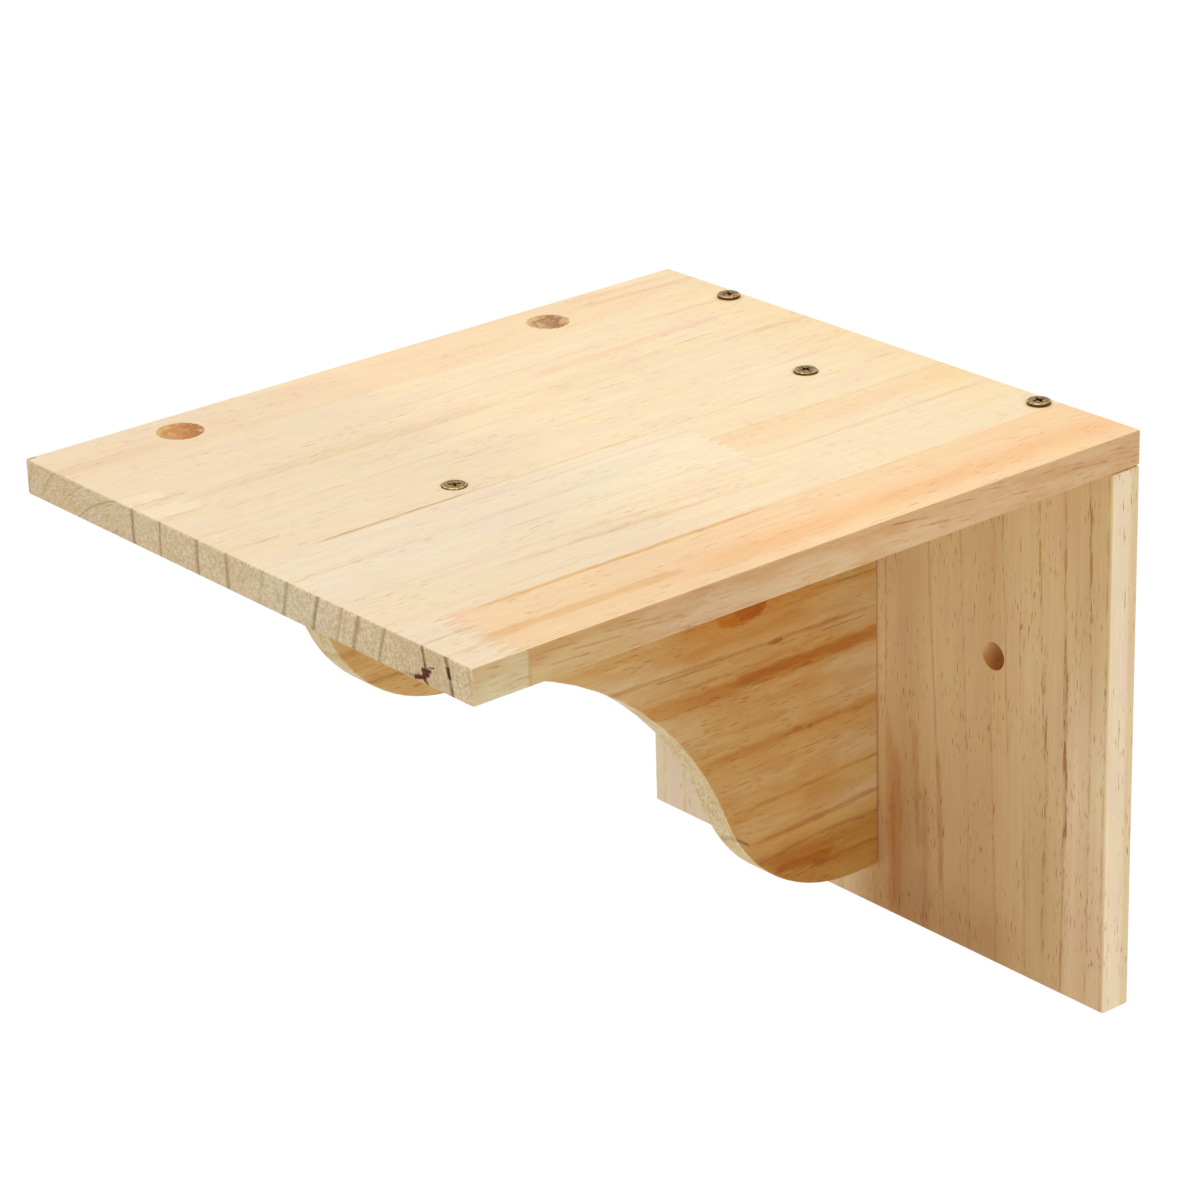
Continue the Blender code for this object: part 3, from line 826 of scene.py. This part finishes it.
def deck_pine():
    """The deck: four glued staves, two pieced near the front and one near the wall."""
    material, bench, shader, (x, y, z), normal = piece_material("deck_pine")
    faces = bench.group(CUT_FACES, {"Normal": normal})
    depth = bench.less(DECK_HIGH.z, z)
    end, side = faces["Y Face"], faces["X Face"]
    lean, seed = deck_staves(bench, x)
    joined, glue, fourth = deck_joints(bench, x, y, side)
    seeds = bench.product(seed, STAVES_APART), bench.product(joined, PIECES_APART)
    feeds = {"Across": x, "Along": y, "Through": depth, "Lean": lean, "Wander": DECK_WANDER}
    figure = bench.group(PINE_FIGURE, {**feeds, "Seed": bench.total(*seeds)})

    tone = deck_tone(bench, figure, lean, depth, joined, fourth)
    colour = bench.tint(1.0, tone, deck_rings(bench, figure, joined, end))
    colour = deck_clouds_and_shade(bench, colour, figure, x, y, joined, fourth)

    # Marks on the top and the sides, then the fine detail and the glue
    top = bench.less(1.0, end)
    streaked = lay_streaks(bench, colour, x, y, figure["Breaks"], DECK_STREAKS)
    colour = bench.mix(top, colour, streaked)
    colour = bench.mix(side, colour, deck_side(bench, colour, figure, seed, y, z))
    for first_x, last_x, rear_y in DECK_BLOCKS:
        ahead = bench.calc("LESS_THAN", y, rear_y)
        block = bench.product(bench.between(x, first_x, last_x), ahead)
        colour = bench.mix(bench.product(block, top, 0.4), colour, BUTTER)
    colour = detailed(bench, colour, figure, end, DECK_DETAIL)
    colour = bench.tint(bench.product(glue, 0.5), colour, GLUE_LINE)

    for name in DECK_SCREWS:
        middle = sum(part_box(name), Vector()) / 2.0 / MM
        feeds = round_place(x, y, middle.x, middle.y, SCREW_HEAD_RADIUS)
        crushed_and_shaded = bench.group(ROUND_BORE, feeds)["Crushed And Shaded"]
        # Pressed fibres and painted contact shade round each deck screw
        colour = bench.tint(bench.product(crushed_and_shaded, 0.6), colour, CRUSHED_AND_SHADED)
    colour = deck_knots(bench, colour, x, y)
    colour = resin_marks(bench, colour, figure, end, x, y, z)

    colour = bench.tint(end, colour, DECK_END_CUT)
    # Painted shade, partly the wood's own warmer tone, darkens the side faces
    colour = bench.tint(side, colour, DECK_SIDE_TONE_AND_SHADE)
    height = bench.mix(bench.window(z, SIDE_RISE), SIDE_FOOT, SIDE_HEAD)
    colour = bench.tint(bench.product(side, bench.window(y, SIDE_AHEAD)), colour, height)
    colour = bench.tint(bench.product(side, joined), colour, SIDE_JOINED)
    behind = bench.product(side, bench.window(y, JOINT_NEAR), bench.less(1.0, joined))
    colour = bench.tint(behind, colour, SIDE_BY_JOINT)
    sand(bench, shader, colour, figure, end, faces["Eased"])
    return material


# Knots of the deck: x, y, radius, raggedness, rim strength and the tones of its mottle
DECK_KNOTS = (
    (-99.6, -220.3, 7.8, 0.16, 0.45, (
        (214, 186, 116), (206, 162, 92), (202, 138, 70),
        (190, 114, 46), (164, 98, 40), (226, 182, 116),
    )),
    (-99.0, -67.6, 7.5, 0.42, 0.2, (
        (222, 184, 134), (214, 170, 122), (190, 142, 94),
        (150, 96, 50), (206, 158, 110), (226, 180, 130),
    )),
)
# Where those tones lie on the ramp, and the tint of a knot's rim
KNOT_STEPS = (0.08, 0.24, 0.40, 0.60, 0.80, 0.97)
KNOT_RIM = (0.66, 0.50, 0.36)


def deck_knots(bench, colour, x, y):
    """Two sound knots near the left edge, a rusty one in front of a browner one."""
    for across, along, radius, ragged, rim, tones in DECK_KNOTS:
        feeds = round_place(x, y, across, along, radius)
        knot = bench.group(ROUND_KNOT, {**feeds, "Flatness": 1.0, "Ragged": ragged})
        turned = bench.product(knot["Turn"], 0.42)
        mottled = bench.product(bench.less(knot["Mottle"], 0.5), 1.9)
        stops = [(step, linear(*tone)) for step, tone in zip(KNOT_STEPS, tones)]
        wood = bench.ramp(bench.total(0.5, turned, mottled), stops)
        wood = bench.tint(bench.product(knot["Rim"], rim), wood, KNOT_RIM)
        colour = bench.mix(bench.product(knot["Disc"], 0.96), colour, wood)
    return colour


RESIN = linear(88, 32, 0)
RESIN_HALO = (0.94, 0.87, 0.80)
# How deep the resin shows, as a window of y, and the window of x of the halo round it
RESIN_DEPTH, HALO_WIDTH = (-263.0, -267.0), (91.0, 15.0, 9.0)
BLACK = (0.0, 0.0, 0.0)
# The resin pocket in the front end: (z, first x, last x, and the rest as in other streaks)
RESIN_MARKS = (
    (80.0, 86.4, 93.4, 2.2, 1.3, 0.0, 1.0, BLACK),
    (83.5, 90.0, 95.6, 0.8, 1.1, 0.0, 1.0, BLACK),
    (82.4, 90.6, 94.6, 0.6, 1.3, 0.0, 1.0, BLACK),
    (81.2, 91.0, 93.8, -1.6, 0.7, 0.0, 1.0, BLACK),
    (85.0, 93.6, 97.0, 1.0, 0.5, 0.0, 0.8, BLACK),
    (80.2, 82.6, 87.4, 0.6, 0.6, 0.4, 0.5, BLACK),
)
# Resin along two rings beside it: (ring, first z, last z, and the rest alike)
RESIN_DASHES = (
    (90.6, 92.4, 83.5, 0.4, 0.9, 0.4, 0.7, BLACK),
    (101.5, 92.2, 88.4, 0.2, 1.1, 0.2, 0.7, BLACK),
    (102.0, 88.8, 84.2, 0.2, 1.35, 0.0, 1.0, BLACK),
    (102.3, 85.0, 78.0, 0.2, 1.1, 0.5, 0.8, BLACK),
)


def resin_marks(bench, colour, figure, end, x, y, z):
    """A dark bow-shaped resin pocket in the end grain of the right stave."""
    clean = lay_streaks(bench, CLEAR, z, x, figure["Breaks"], RESIN_MARKS)
    clean = lay_streaks(bench, clean, figure["Ring Place"], z, figure["Mottle"], RESIN_DASHES)
    marked = bench.less(1.0, bench.split(clean)[0])
    front = bench.product(bench.window(y, RESIN_DEPTH), end)
    halo = bench.window(x, HALO_WIDTH)
    colour = bench.tint(bench.product(halo, front), colour, RESIN_HALO)
    return bench.mix(bench.product(front, marked), colour, RESIN)


# Tones of the plate: pale in painted light, olive and warm in painted shade, and those of its
# side and back
PLATE_LIT_PALE = linear(248, 226, 195)
PLATE_SHADED_OLIVE = linear(224, 194, 146)
PLATE_SHADED_WARM = linear(216, 181, 133)
PLATE_SIDE = linear(247, 226, 192)
PLATE_BACK = linear(236, 210, 168)
PLATE_END_CUT = (0.91, 0.89, 0.79)
PLATE_FIGURE = {"Lean": 0.3, "Wander": 1.0, "Seed": 211.0}
PLATE_DETAIL = {
    "Fibre Strength": 0.9, "Patch Strength": 1.0, "Duct Strength": 1.0,
    "Duct Tint": (0.62, 0.42, 0.25),
}
# The back's own tone starts inside the board, at a window of y
PLATE_REAR = (-5.0, -3.0)
# A wall hole from its top to its foot: tones of its painted shade, and the z where each starts
BORE_TOP, BORE_FOOT = linear(236, 198, 134), linear(184, 124, 58)
BORE_SHADE = (4.0, -4.5)
# Broad tones across the plate, (x, tone), and its growth rings. The pale tone left of the corbel
# is painted light, and the olive and warm tones right of it are painted shade.
PLATE_TONES = (
    (-10.0, PLATE_LIT_PALE), (4.0, PLATE_SHADED_WARM), (20.0, PLATE_SHADED_WARM), (34.0, PLATE_SHADED_OLIVE),
    (60.0, PLATE_SHADED_WARM), (75.0, PLATE_SHADED_OLIVE), (97.0, PLATE_SHADED_OLIVE), (104.0, PLATE_SHADED_WARM),
    (114.0, PLATE_SHADED_OLIVE),
)
PLATE_RINGS = (
    (-108.0, 2.0, 0.5, TAN), (-97.0, 2.0, 0.5, TAN), (-84.0, 2.5, 0.6, BROWN),
    (-69.0, 2.0, 0.5, TAN), (-55.0, 2.0, 0.5, BROWN), (-41.0, 2.2, 0.6, TAN),
    (-26.0, 2.0, 0.5, BROWN), (-12.0, 2.0, 0.5, TAN), (112.5, 1.2, 0.5, BROWN),
)
# Streaks on the plate: (x, first z, last z, drift, half width, broken, strength, tint)
PLATE_STREAKS = (
    (9.5, 30.0, -50.0, 0.5, 0.6, 0.6, 0.5, BROWN),
    (11.0, -34.0, -122.0, 2.0, 2.8, 0.2, 0.55, (0.82, 0.60, 0.34)),
    (14.5, -44.0, -118.0, 1.0, 3.8, 0.1, 0.55, (0.80, 0.56, 0.28)),
    (24.0, -34.0, -90.0, 2.0, 2.4, 0.3, 0.6, (0.78, 0.62, 0.45)),
    (28.5, -52.0, -128.0, 1.0, 3.0, 0.3, 0.6, (0.80, 0.64, 0.48)),
    (35.5, -40.0, -100.0, 1.5, 1.8, 0.2, 0.6, (0.74, 0.56, 0.38)),
    (29.5, 46.0, -66.0, 6.5, 0.9, 0.4, 0.6, BROWN),
    (36.5, -44.0, -140.0, 3.0, 0.9, 0.5, 0.5, BROWN),
    (44.5, 60.0, -60.0, 6.0, 0.8, 0.7, 0.5, BROWN),
    (50.0, -50.0, -140.0, 1.0, 0.9, 0.6, 0.5, BROWN),
    (60.5, 70.0, 12.0, 1.0, 0.7, 0.7, 0.6, BROWN),
    (60.0, -10.0, -140.0, 5.0, 0.9, 0.5, 0.5, RUST),
    (64.0, 70.0, -50.0, 5.5, 0.7, 0.6, 0.5, BROWN),
    (73.0, 70.0, -40.0, 1.5, 0.5, 0.9, 0.7, BROWN),
    (75.5, -36.0, -140.0, 3.0, 0.7, 0.6, 0.5, BROWN),
    (80.8, 84.0, 10.0, 2.8, 0.8, 0.85, 0.6, RUSTED),
    (84.0, 20.0, -50.0, 3.0, 1.3, 0.9, 0.75, RUSTED),
    (86.6, -30.0, -110.0, -1.4, 1.1, 0.75, 0.65, RUSTED),
    (92.6, 90.0, -10.0, 2.6, 0.9, 0.7, 0.65, RUSTED),
    (94.6, 20.0, -66.0, 0.8, 1.3, 0.6, 0.85, (0.48, 0.25, 0.07)),
    (95.0, -40.0, -140.0, -1.4, 0.9, 0.6, 0.7, (0.60, 0.38, 0.26)),
    (103.6, 96.0, 0.0, 2.6, 0.9, 0.85, 0.7, RUSTED),
    (106.0, 20.0, -140.0, -0.5, 0.9, 0.7, 0.6, BROWN),
)
# The plate's right part, where painted shade lies, is full from one x, and starts at another,
# which moves left towards the foot, by a window of z
SHADE_FULL, SHADE_START, SHADE_FOOT = 6.0, (-5.0, -48.0), (-80.0, -100.0)
# Painted light and shade on that part: (window of x, window of z, tint)
PLATE_PAINTED_LIGHT_AND_SHADE = (
    (ANYWHERE, (0.0, -112.0), (0.88, 0.80, 0.72)),
    (ANYWHERE, (-85.0, 40.0), (1.06, 1.13, 1.15)),
    ((75.0, 15.0), (-10.0, -100.0), (0.84, 0.75, 0.66)),
    ((84.0, 62.0), (-84.0, -108.0), (0.86, 0.79, 0.68)),
    ((92.0, 100.0), (30.0, -50.0), (1.22, 1.36, 1.65)),
    ((95.0, 6.0, 3.0), (-50.0, -30.0), (0.97, 0.93, 0.94)),
    ((82.0, 8.0, 4.0), (-10.0, -26.0), (0.955, 0.94, 0.90)),
    ((19.0, 8.0), (34.0, -10.0), (1.15, 1.22, 1.28)),
)


def plate_pine():
    """The wall plate: upright grain with thin broken rings and heartwood streaks, and painted
    shade right of the corbel that darkens towards its foot.
    """
    material, bench, shader, (x, y, z), normal = piece_material("plate_pine")
    faces = bench.group(CUT_FACES, {"Normal": normal})
    low, high = PLATE_LOW.x, PLATE_HIGH.x
    depth = bench.less(y, PLATE_LOW.y)
    feeds = {"Across": x, "Along": z, "Through": depth}
    figure = bench.group(PINE_FIGURE, {**feeds, **PLATE_FIGURE})
    end, side = faces["Z Face"], faces["X Face"]
    place = bench.stretch(figure["Ring Place"], low, high)
    tone = bench.ramp(place, tone_stops(low, high, PLATE_TONES))
    tone = bench.mix(side, tone, PLATE_SIDE)
    back = bench.window(y, PLATE_REAR)
    tone = bench.mix(back, tone, PLATE_BACK)
    # Painted light and shade lie on the plate's right part, off its side faces and its back
    start = bench.window(z, SHADE_FOOT, *SHADE_START)
    right = bench.ease(x, start, SHADE_FULL)
    right = bench.product(right, bench.less(1.0, side), bench.less(1.0, back))
    tone = lay_tints(bench, tone, x, z, right, PLATE_PAINTED_LIGHT_AND_SHADE)

    rings = growth_rings(bench, place, low, high, PLATE_RINGS)
    broken = bench.ease(figure["Breaks"], 0.40, 0.60, 0.1, 1.0)
    colour = bench.tint(bench.calc("MAXIMUM", broken, end), tone, rings)
    colour = lay_streaks(bench, colour, figure["Ring Place"], z, figure["Breaks"], PLATE_STREAKS)
    colour = detailed(bench, colour, figure, end, PLATE_DETAIL)
    colour = bench.tint(end, colour, PLATE_END_CUT)

    # Wall holes: painted shade inside them, browner towards the foot
    feeds = round_place(bench.calc("ABSOLUTE", x), z, WALL_HOLE, 0.0, WALL_HOLE_RADIUS)
    inside = bench.group(ROUND_BORE, feeds)["Inside"]
    inside = bench.product(inside, bench.less(1.0, faces["Y Face"]))
    bore_painted_shade = bench.mix(bench.window(z, BORE_SHADE), BORE_TOP, BORE_FOOT)
    colour = bench.mix(inside, colour, bore_painted_shade)
    sand(bench, shader, colour, figure, end, faces["Eased"])
    return material


# The corbel's ambered tones on its sides are partly painted shade, and the pale tone of its cut
# edges partly painted light
CORBEL_TAN = linear(203, 161, 104)
CORBEL_AMBER = linear(199, 150, 82)
CORBEL_RUSSET = linear(180, 125, 52)
CORBEL_CUT_LIT = linear(232, 212, 168)
CORBEL_FIGURE = {"Lean": -0.2, "Wander": 1.6, "Seed": 407.0}
CORBEL_DETAIL = {
    "Fibre Strength": 1.0, "Patch Strength": 1.0, "Duct Strength": 0.7,
    "Duct Tint": (0.64, 0.44, 0.22),
}
CORBEL_PATCH_DARK, CORBEL_PATCH_PALE = (0.97, 0.93, 0.80), (1.02, 1.05, 1.16)
# Broad tones up the corbel, (z, tone), and its growth rings
CORBEL_TONES = (
    (-80.0, CORBEL_RUSSET), (-74.0, CORBEL_AMBER), (-66.0, CORBEL_TAN), (-58.0, CORBEL_AMBER),
    (-48.0, CORBEL_TAN), (-36.0, CORBEL_AMBER), (-28.0, CORBEL_TAN), (-16.0, CORBEL_TAN),
    (-8.0, CORBEL_AMBER), (4.0, CORBEL_TAN), (14.0, CORBEL_AMBER),
)
CORBEL_RINGS = (
    (26.0, 2.5, 0.6, HONEY), (38.0, 2.0, 0.5, BROWN), (50.0, 2.5, 0.6, HONEY),
    (61.0, 2.0, 0.5, BROWN), (72.0, 2.0, 0.5, HONEY),
)
# Streaks on the corbel: (z, first y, last y, drift, half width, broken, strength, tint)
CORBEL_STREAKS = (
    (13.8, -8.0, -46.0, 1.6, 0.7, 0.5, 0.6, BROWN),
    (0.6, 8.0, -250.0, 4.6, 1.2, 0.3, 0.7, (0.74, 0.50, 0.28)),
    (0.6, -82.0, -115.0, 0.9, 0.3, 0.0, 0.7, UMBER),
    (-1.6, -16.0, -40.0, 0.6, 0.3, 0.0, 0.7, UMBER),
    (-4.6, -40.0, -130.0, 0.6, 0.8, 0.6, 0.4, BROWN),
    (-9.4, 20.0, -140.0, -0.6, 4.8, 0.1, 0.8, (0.84, 0.62, 0.30)),
    (-9.0, -4.0, -84.0, -0.2, 3.2, 0.1, 0.7, (0.82, 0.56, 0.24)),
    (-11.8, 10.0, -130.0, -0.6, 0.5, 0.6, 0.5, BROWN),
    (-21.5, -30.0, -96.0, 0.0, 8.0, 0.1, 0.8, (0.95, 0.86, 0.64)),
    (-33.4, 10.0, -100.0, -2.6, 2.5, 0.1, 0.7, (0.84, 0.64, 0.42)),
    (-34.4, -20.0, -60.0, -0.8, 0.9, 0.6, 0.5, (0.66, 0.42, 0.26)),
    (-42.0, -30.0, -96.0, -1.0, 0.4, 0.9, 0.6, BROWN),
    (-55.2, 4.0, -82.0, -2.4, 1.2, 0.4, 0.65, (0.74, 0.54, 0.34)),
    (-61.5, 0.0, -52.0, 0.0, 5.0, 0.1, 0.6, (0.95, 0.89, 0.72)),
    (-68.6, 4.0, -74.0, -3.2, 1.5, 0.2, 0.7, (0.70, 0.48, 0.26)),
    (-78.0, 0.0, -46.0, 1.4, 1.2, 0.3, 0.6, (0.66, 0.44, 0.28)),
    (-76.6, -40.0, -72.0, -3.4, 1.0, 0.3, 0.5, (0.68, 0.46, 0.28)),
    (-85.2, -32.0, -63.0, 0.8, 2.8, 0.0, 0.85, (0.82, 0.50, 0.08)),
    (-81.4, -30.0, -64.0, -0.6, 4.2, 0.0, 0.5, (0.92, 0.74, 0.44)),
    (-88.4, -29.0, -47.0, 0.4, 0.8, 0.0, 0.6, (0.72, 0.44, 0.22)),
    (-71.6, -71.5, -83.0, 8.0, 1.0, 0.0, 0.7, UMBER),
    (-88.6, 2.0, -48.0, 1.6, 1.0, 0.3, 0.5, (0.68, 0.44, 0.28)),
)
# Knots of the corbel: z, y, radius, flatness, raggedness, strength, heart
CORBEL_KNOTS = (
    (17.8, -74.6, 13.2, 2.0, 0.9, 0.5, (192, 132, 44)),
    (17.2, -74.6, 11.0, 2.0, 0.8, 0.75, (186, 106, 8)),
    (16.8, -70.0, 7.0, 1.6, 0.9, 0.65, (166, 84, 0)),
    (1.3, -59.2, 3.2, 3.0, 1.2, 0.7, (150, 90, 14)),
    (-34.6, -50.0, 2.6, 2.2, 0.9, 0.6, (190, 108, 50)),
    (-35.2, -43.8, 1.2, 1.6, 0.6, 0.7, (140, 90, 48)),
)
# Broad tints of the corbel's sides: (window of y, window of z, tint)
CORBEL_TINTS = (
    ((-84.0, -130.0), (-36.0, -22.0), (1.11, 1.33, 1.82)),
    ((-44.0, -24.0), ANYWHERE, (1.0, 1.10, 1.34)),
    ((-76.0, 40.0, 20.0), (0.0, 8.0), (0.96, 0.84, 0.63)),
)


def corbel_pine():
    """The corbel: an ambered board with its grain running out from the wall, its sides partly in
    painted shade and its cut edges partly in painted light.
    """
    material, bench, shader, (x, y, z), normal = piece_material("corbel_pine")
    faces = bench.group(CUT_FACES, {"Normal": normal})
    low, high = CORBEL_LOW.z, CORBEL_HIGH.z
    feeds = {"Across": z, "Along": y, "Through": x}
    figure = bench.group(PINE_FIGURE, {**feeds, **CORBEL_FIGURE})
    rim = bench.less(1.0, faces["X Face"])
    end = bench.calc("MAXIMUM", faces["Y Face"], bench.product(faces["Z Face"], 0.5))
    end = bench.product(rim, end)
    place = bench.stretch(figure["Ring Place"], low, high)
    tone = bench.ramp(place, tone_stops(low, high, CORBEL_TONES))
    # The pale tone of the cut edges is partly painted light
    tone = bench.mix(rim, tone, CORBEL_CUT_LIT)
    rings = growth_rings(bench, place, low, high, CORBEL_RINGS)
    colour = bench.tint(bench.ease(figure["Breaks"], 0.3, 0.6, 0.5, 1.0), tone, rings)
    ring_place, breaks = figure["Ring Place"], figure["Breaks"]
    streaked = lay_streaks(bench, colour, ring_place, y, breaks, CORBEL_STREAKS)
    colour = bench.mix(bench.stretch(rim, 0.0, 1.0, 1.0, 0.5), colour, streaked)

    for across, along, radius, flatness, ragged, strength, heart in CORBEL_KNOTS:
        feeds = round_place(ring_place, y, across, along, radius)
        knot = bench.group(ROUND_KNOT, {**feeds, "Flatness": flatness, "Ragged": ragged})
        patchy = bench.ease(knot["Mottle"], 0.35, 0.6, 0.7, 1.0)
        colour = bench.mix(bench.product(knot["Disc"], patchy, strength), colour, linear(*heart))

    patchy = bench.mix(figure["Patches"], CORBEL_PATCH_DARK, CORBEL_PATCH_PALE)
    colour = bench.tint(1.0, colour, patchy)
    colour = lay_tints(bench, colour, y, z, bench.less(1.0, rim), CORBEL_TINTS)
    colour = detailed(bench, colour, figure, end, CORBEL_DETAIL)
    sand(bench, shader, colour, figure, end, faces["Eased"])
    return material


def bronze(name, axis, screws):
    """Plated screws that lie along one axis: stained bronze, with a black cross and a painted
    highlight on the rim of each head.
    """
    material, bench, shader, place, normal = piece_material(name)
    facing = bench.calc("ABSOLUTE", bench.split(normal)[axis])
    plating = bench.group(BRONZE_STAIN, {"Place": bench.point(*place), "Facing": facing})
    colour = plating["Colour"]
    others = [i for i in (0, 1, 2) if i != axis]
    for screw in screws:
        low, high = (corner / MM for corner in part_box(screw))
        middle = (low + high) / 2.0
        feeds = {
            "Colour": colour, "Stain": plating["Stain"], "Facing": facing,
            "Reach": bench.length(*(bench.less(place[i], middle[i]) for i in others)),
            "Sunk": bench.less(high[axis], place[axis]),
        }
        colour = bench.group(HEAD_CROSS_AND_HIGHLIGHT, feeds)["Colour"]
    bench.feed(shader.inputs["Base Color"], colour)
    shader.inputs["Metallic"].default_value = 1.0
    bench.feed(shader.inputs["Roughness"], plating["Roughness"])
    raise_relief(bench, shader, plating["Stain"], PLATING_RELIEF)
    return material


def dress(node, material):
    """Give a solid its finish."""
    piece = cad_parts[node]
    piece.data.materials.clear()
    piece.data.materials.append(material)


def soft_lamp(name, place, width, share):
    """A square soft lamp that gives a facing surface a share of its own colour."""
    lamp = bpy.data.lights.new(name, "AREA")
    lamp.shape = "SQUARE"
    lamp.size = width
    way = Vector(LAMP_AIM) - Vector(place)
    lamp.energy = share * (math.pi * way.length) ** 2
    item = bpy.data.objects.new(name, lamp)
    item.location = place
    item.rotation_euler = way.to_track_quat("-Z", "Y").to_euler()
    bpy.context.scene.collection.objects.link(item)


def seen_straight(bench):
    """One for rays that see the background, straight on, in a shine or through glass."""
    rays = bench.node("ShaderNodeLightPath").outputs
    shiny = bench.calc("MAXIMUM", rays["Is Glossy Ray"], rays["Is Transmission Ray"])
    return bench.calc("MAXIMUM", rays["Is Camera Ray"], shiny)


def light_the_step():
    """Plain soft light all round, with a broad lamp above and one on the right."""
    world = bpy.data.worlds.new("studio")
    world.use_nodes = True
    bpy.context.scene.world = world
    bench = NodeBench(world.node_tree)
    background = world.node_tree.nodes["Background"]
    bench.feed(background.inputs["Color"], CLEAR)
    strength = bench.stretch(seen_straight(bench), 0.0, 1.0, AMBIENT_LIGHT, 1.0)
    bench.feed(background.inputs["Strength"], strength)
    for lamp in LAMPS:
        soft_lamp(*lamp)


def lay_the_floor():
    """A pale floor, seen as white, that keeps the shadow of the step."""
    height = PLATE_LOW.z * MM - FLOOR_DROP
    bpy.ops.mesh.primitive_plane_add(size=FLOOR_WIDTH, location=(0.0, 0.0, height))
    floor = bpy.context.object
    floor.name = "floor"
    material = bpy.data.materials.new("pale_floor")
    material.use_nodes = True
    bench = NodeBench(material.node_tree)
    shader = material.node_tree.nodes["Principled BSDF"]
    bench.feed(shader.inputs["Base Color"], FLOOR_GREY)
    shader.inputs["Roughness"].default_value = 0.9
    shader.inputs["Specular IOR Level"].default_value = 0.0
    away = bench.length(*bench.split(bench.node("ShaderNodeTexCoord").outputs["Object"]))
    (near, dim), (far, bright) = FLOOR_GLOW_NEAR, FLOOR_GLOW_FAR
    shown = bench.product(seen_straight(bench), bench.stretch(away, near, far, dim, bright))
    glow = bench.node("ShaderNodeEmission", {"Color": CLEAR, "Strength": shown})
    both = bench.node("ShaderNodeAddShader", {0: shader.outputs[0], 1: glow.outputs[0]})
    bench.feed(material.node_tree.nodes["Material Output"].inputs["Surface"], both.outputs[0])
    floor.data.materials.append(material)


def set_camera():
    """The photograph's view of the step."""
    lens = bpy.data.cameras.new("camera")
    lens.lens = CAMERA_LENS
    lens.sensor_width = SENSOR_WIDTH
    camera = bpy.data.objects.new("camera", lens)
    right = CAMERA_RIGHT.normalized()
    back = -CAMERA_AHEAD.normalized()
    turn = Matrix((right, back.cross(right), back)).transposed()
    camera.matrix_world = Matrix.Translation(CAMERA_PLACE) @ turn.to_4x4()
    bpy.context.scene.collection.objects.link(camera)
    bpy.context.scene.camera = camera


def dress_the_step():
    """A finish for every solid."""
    dress("deck_board", deck_pine())
    dress("wall_plate", plate_pine())
    dress("corbel_bracket", corbel_pine())
    upright, level = 2, 1
    for name, axis, screws in (
        ("deck_screw_bronze", upright, DECK_SCREWS), ("back_screw_bronze", level, BACK_SCREWS),
    ):
        plating = bronze(name, axis, screws)
        for screw in screws:
            dress(screw, plating)


set_camera()
light_the_step()
lay_the_floor()
dress_the_step()
bpy.context.scene.view_settings.view_transform = "Standard"
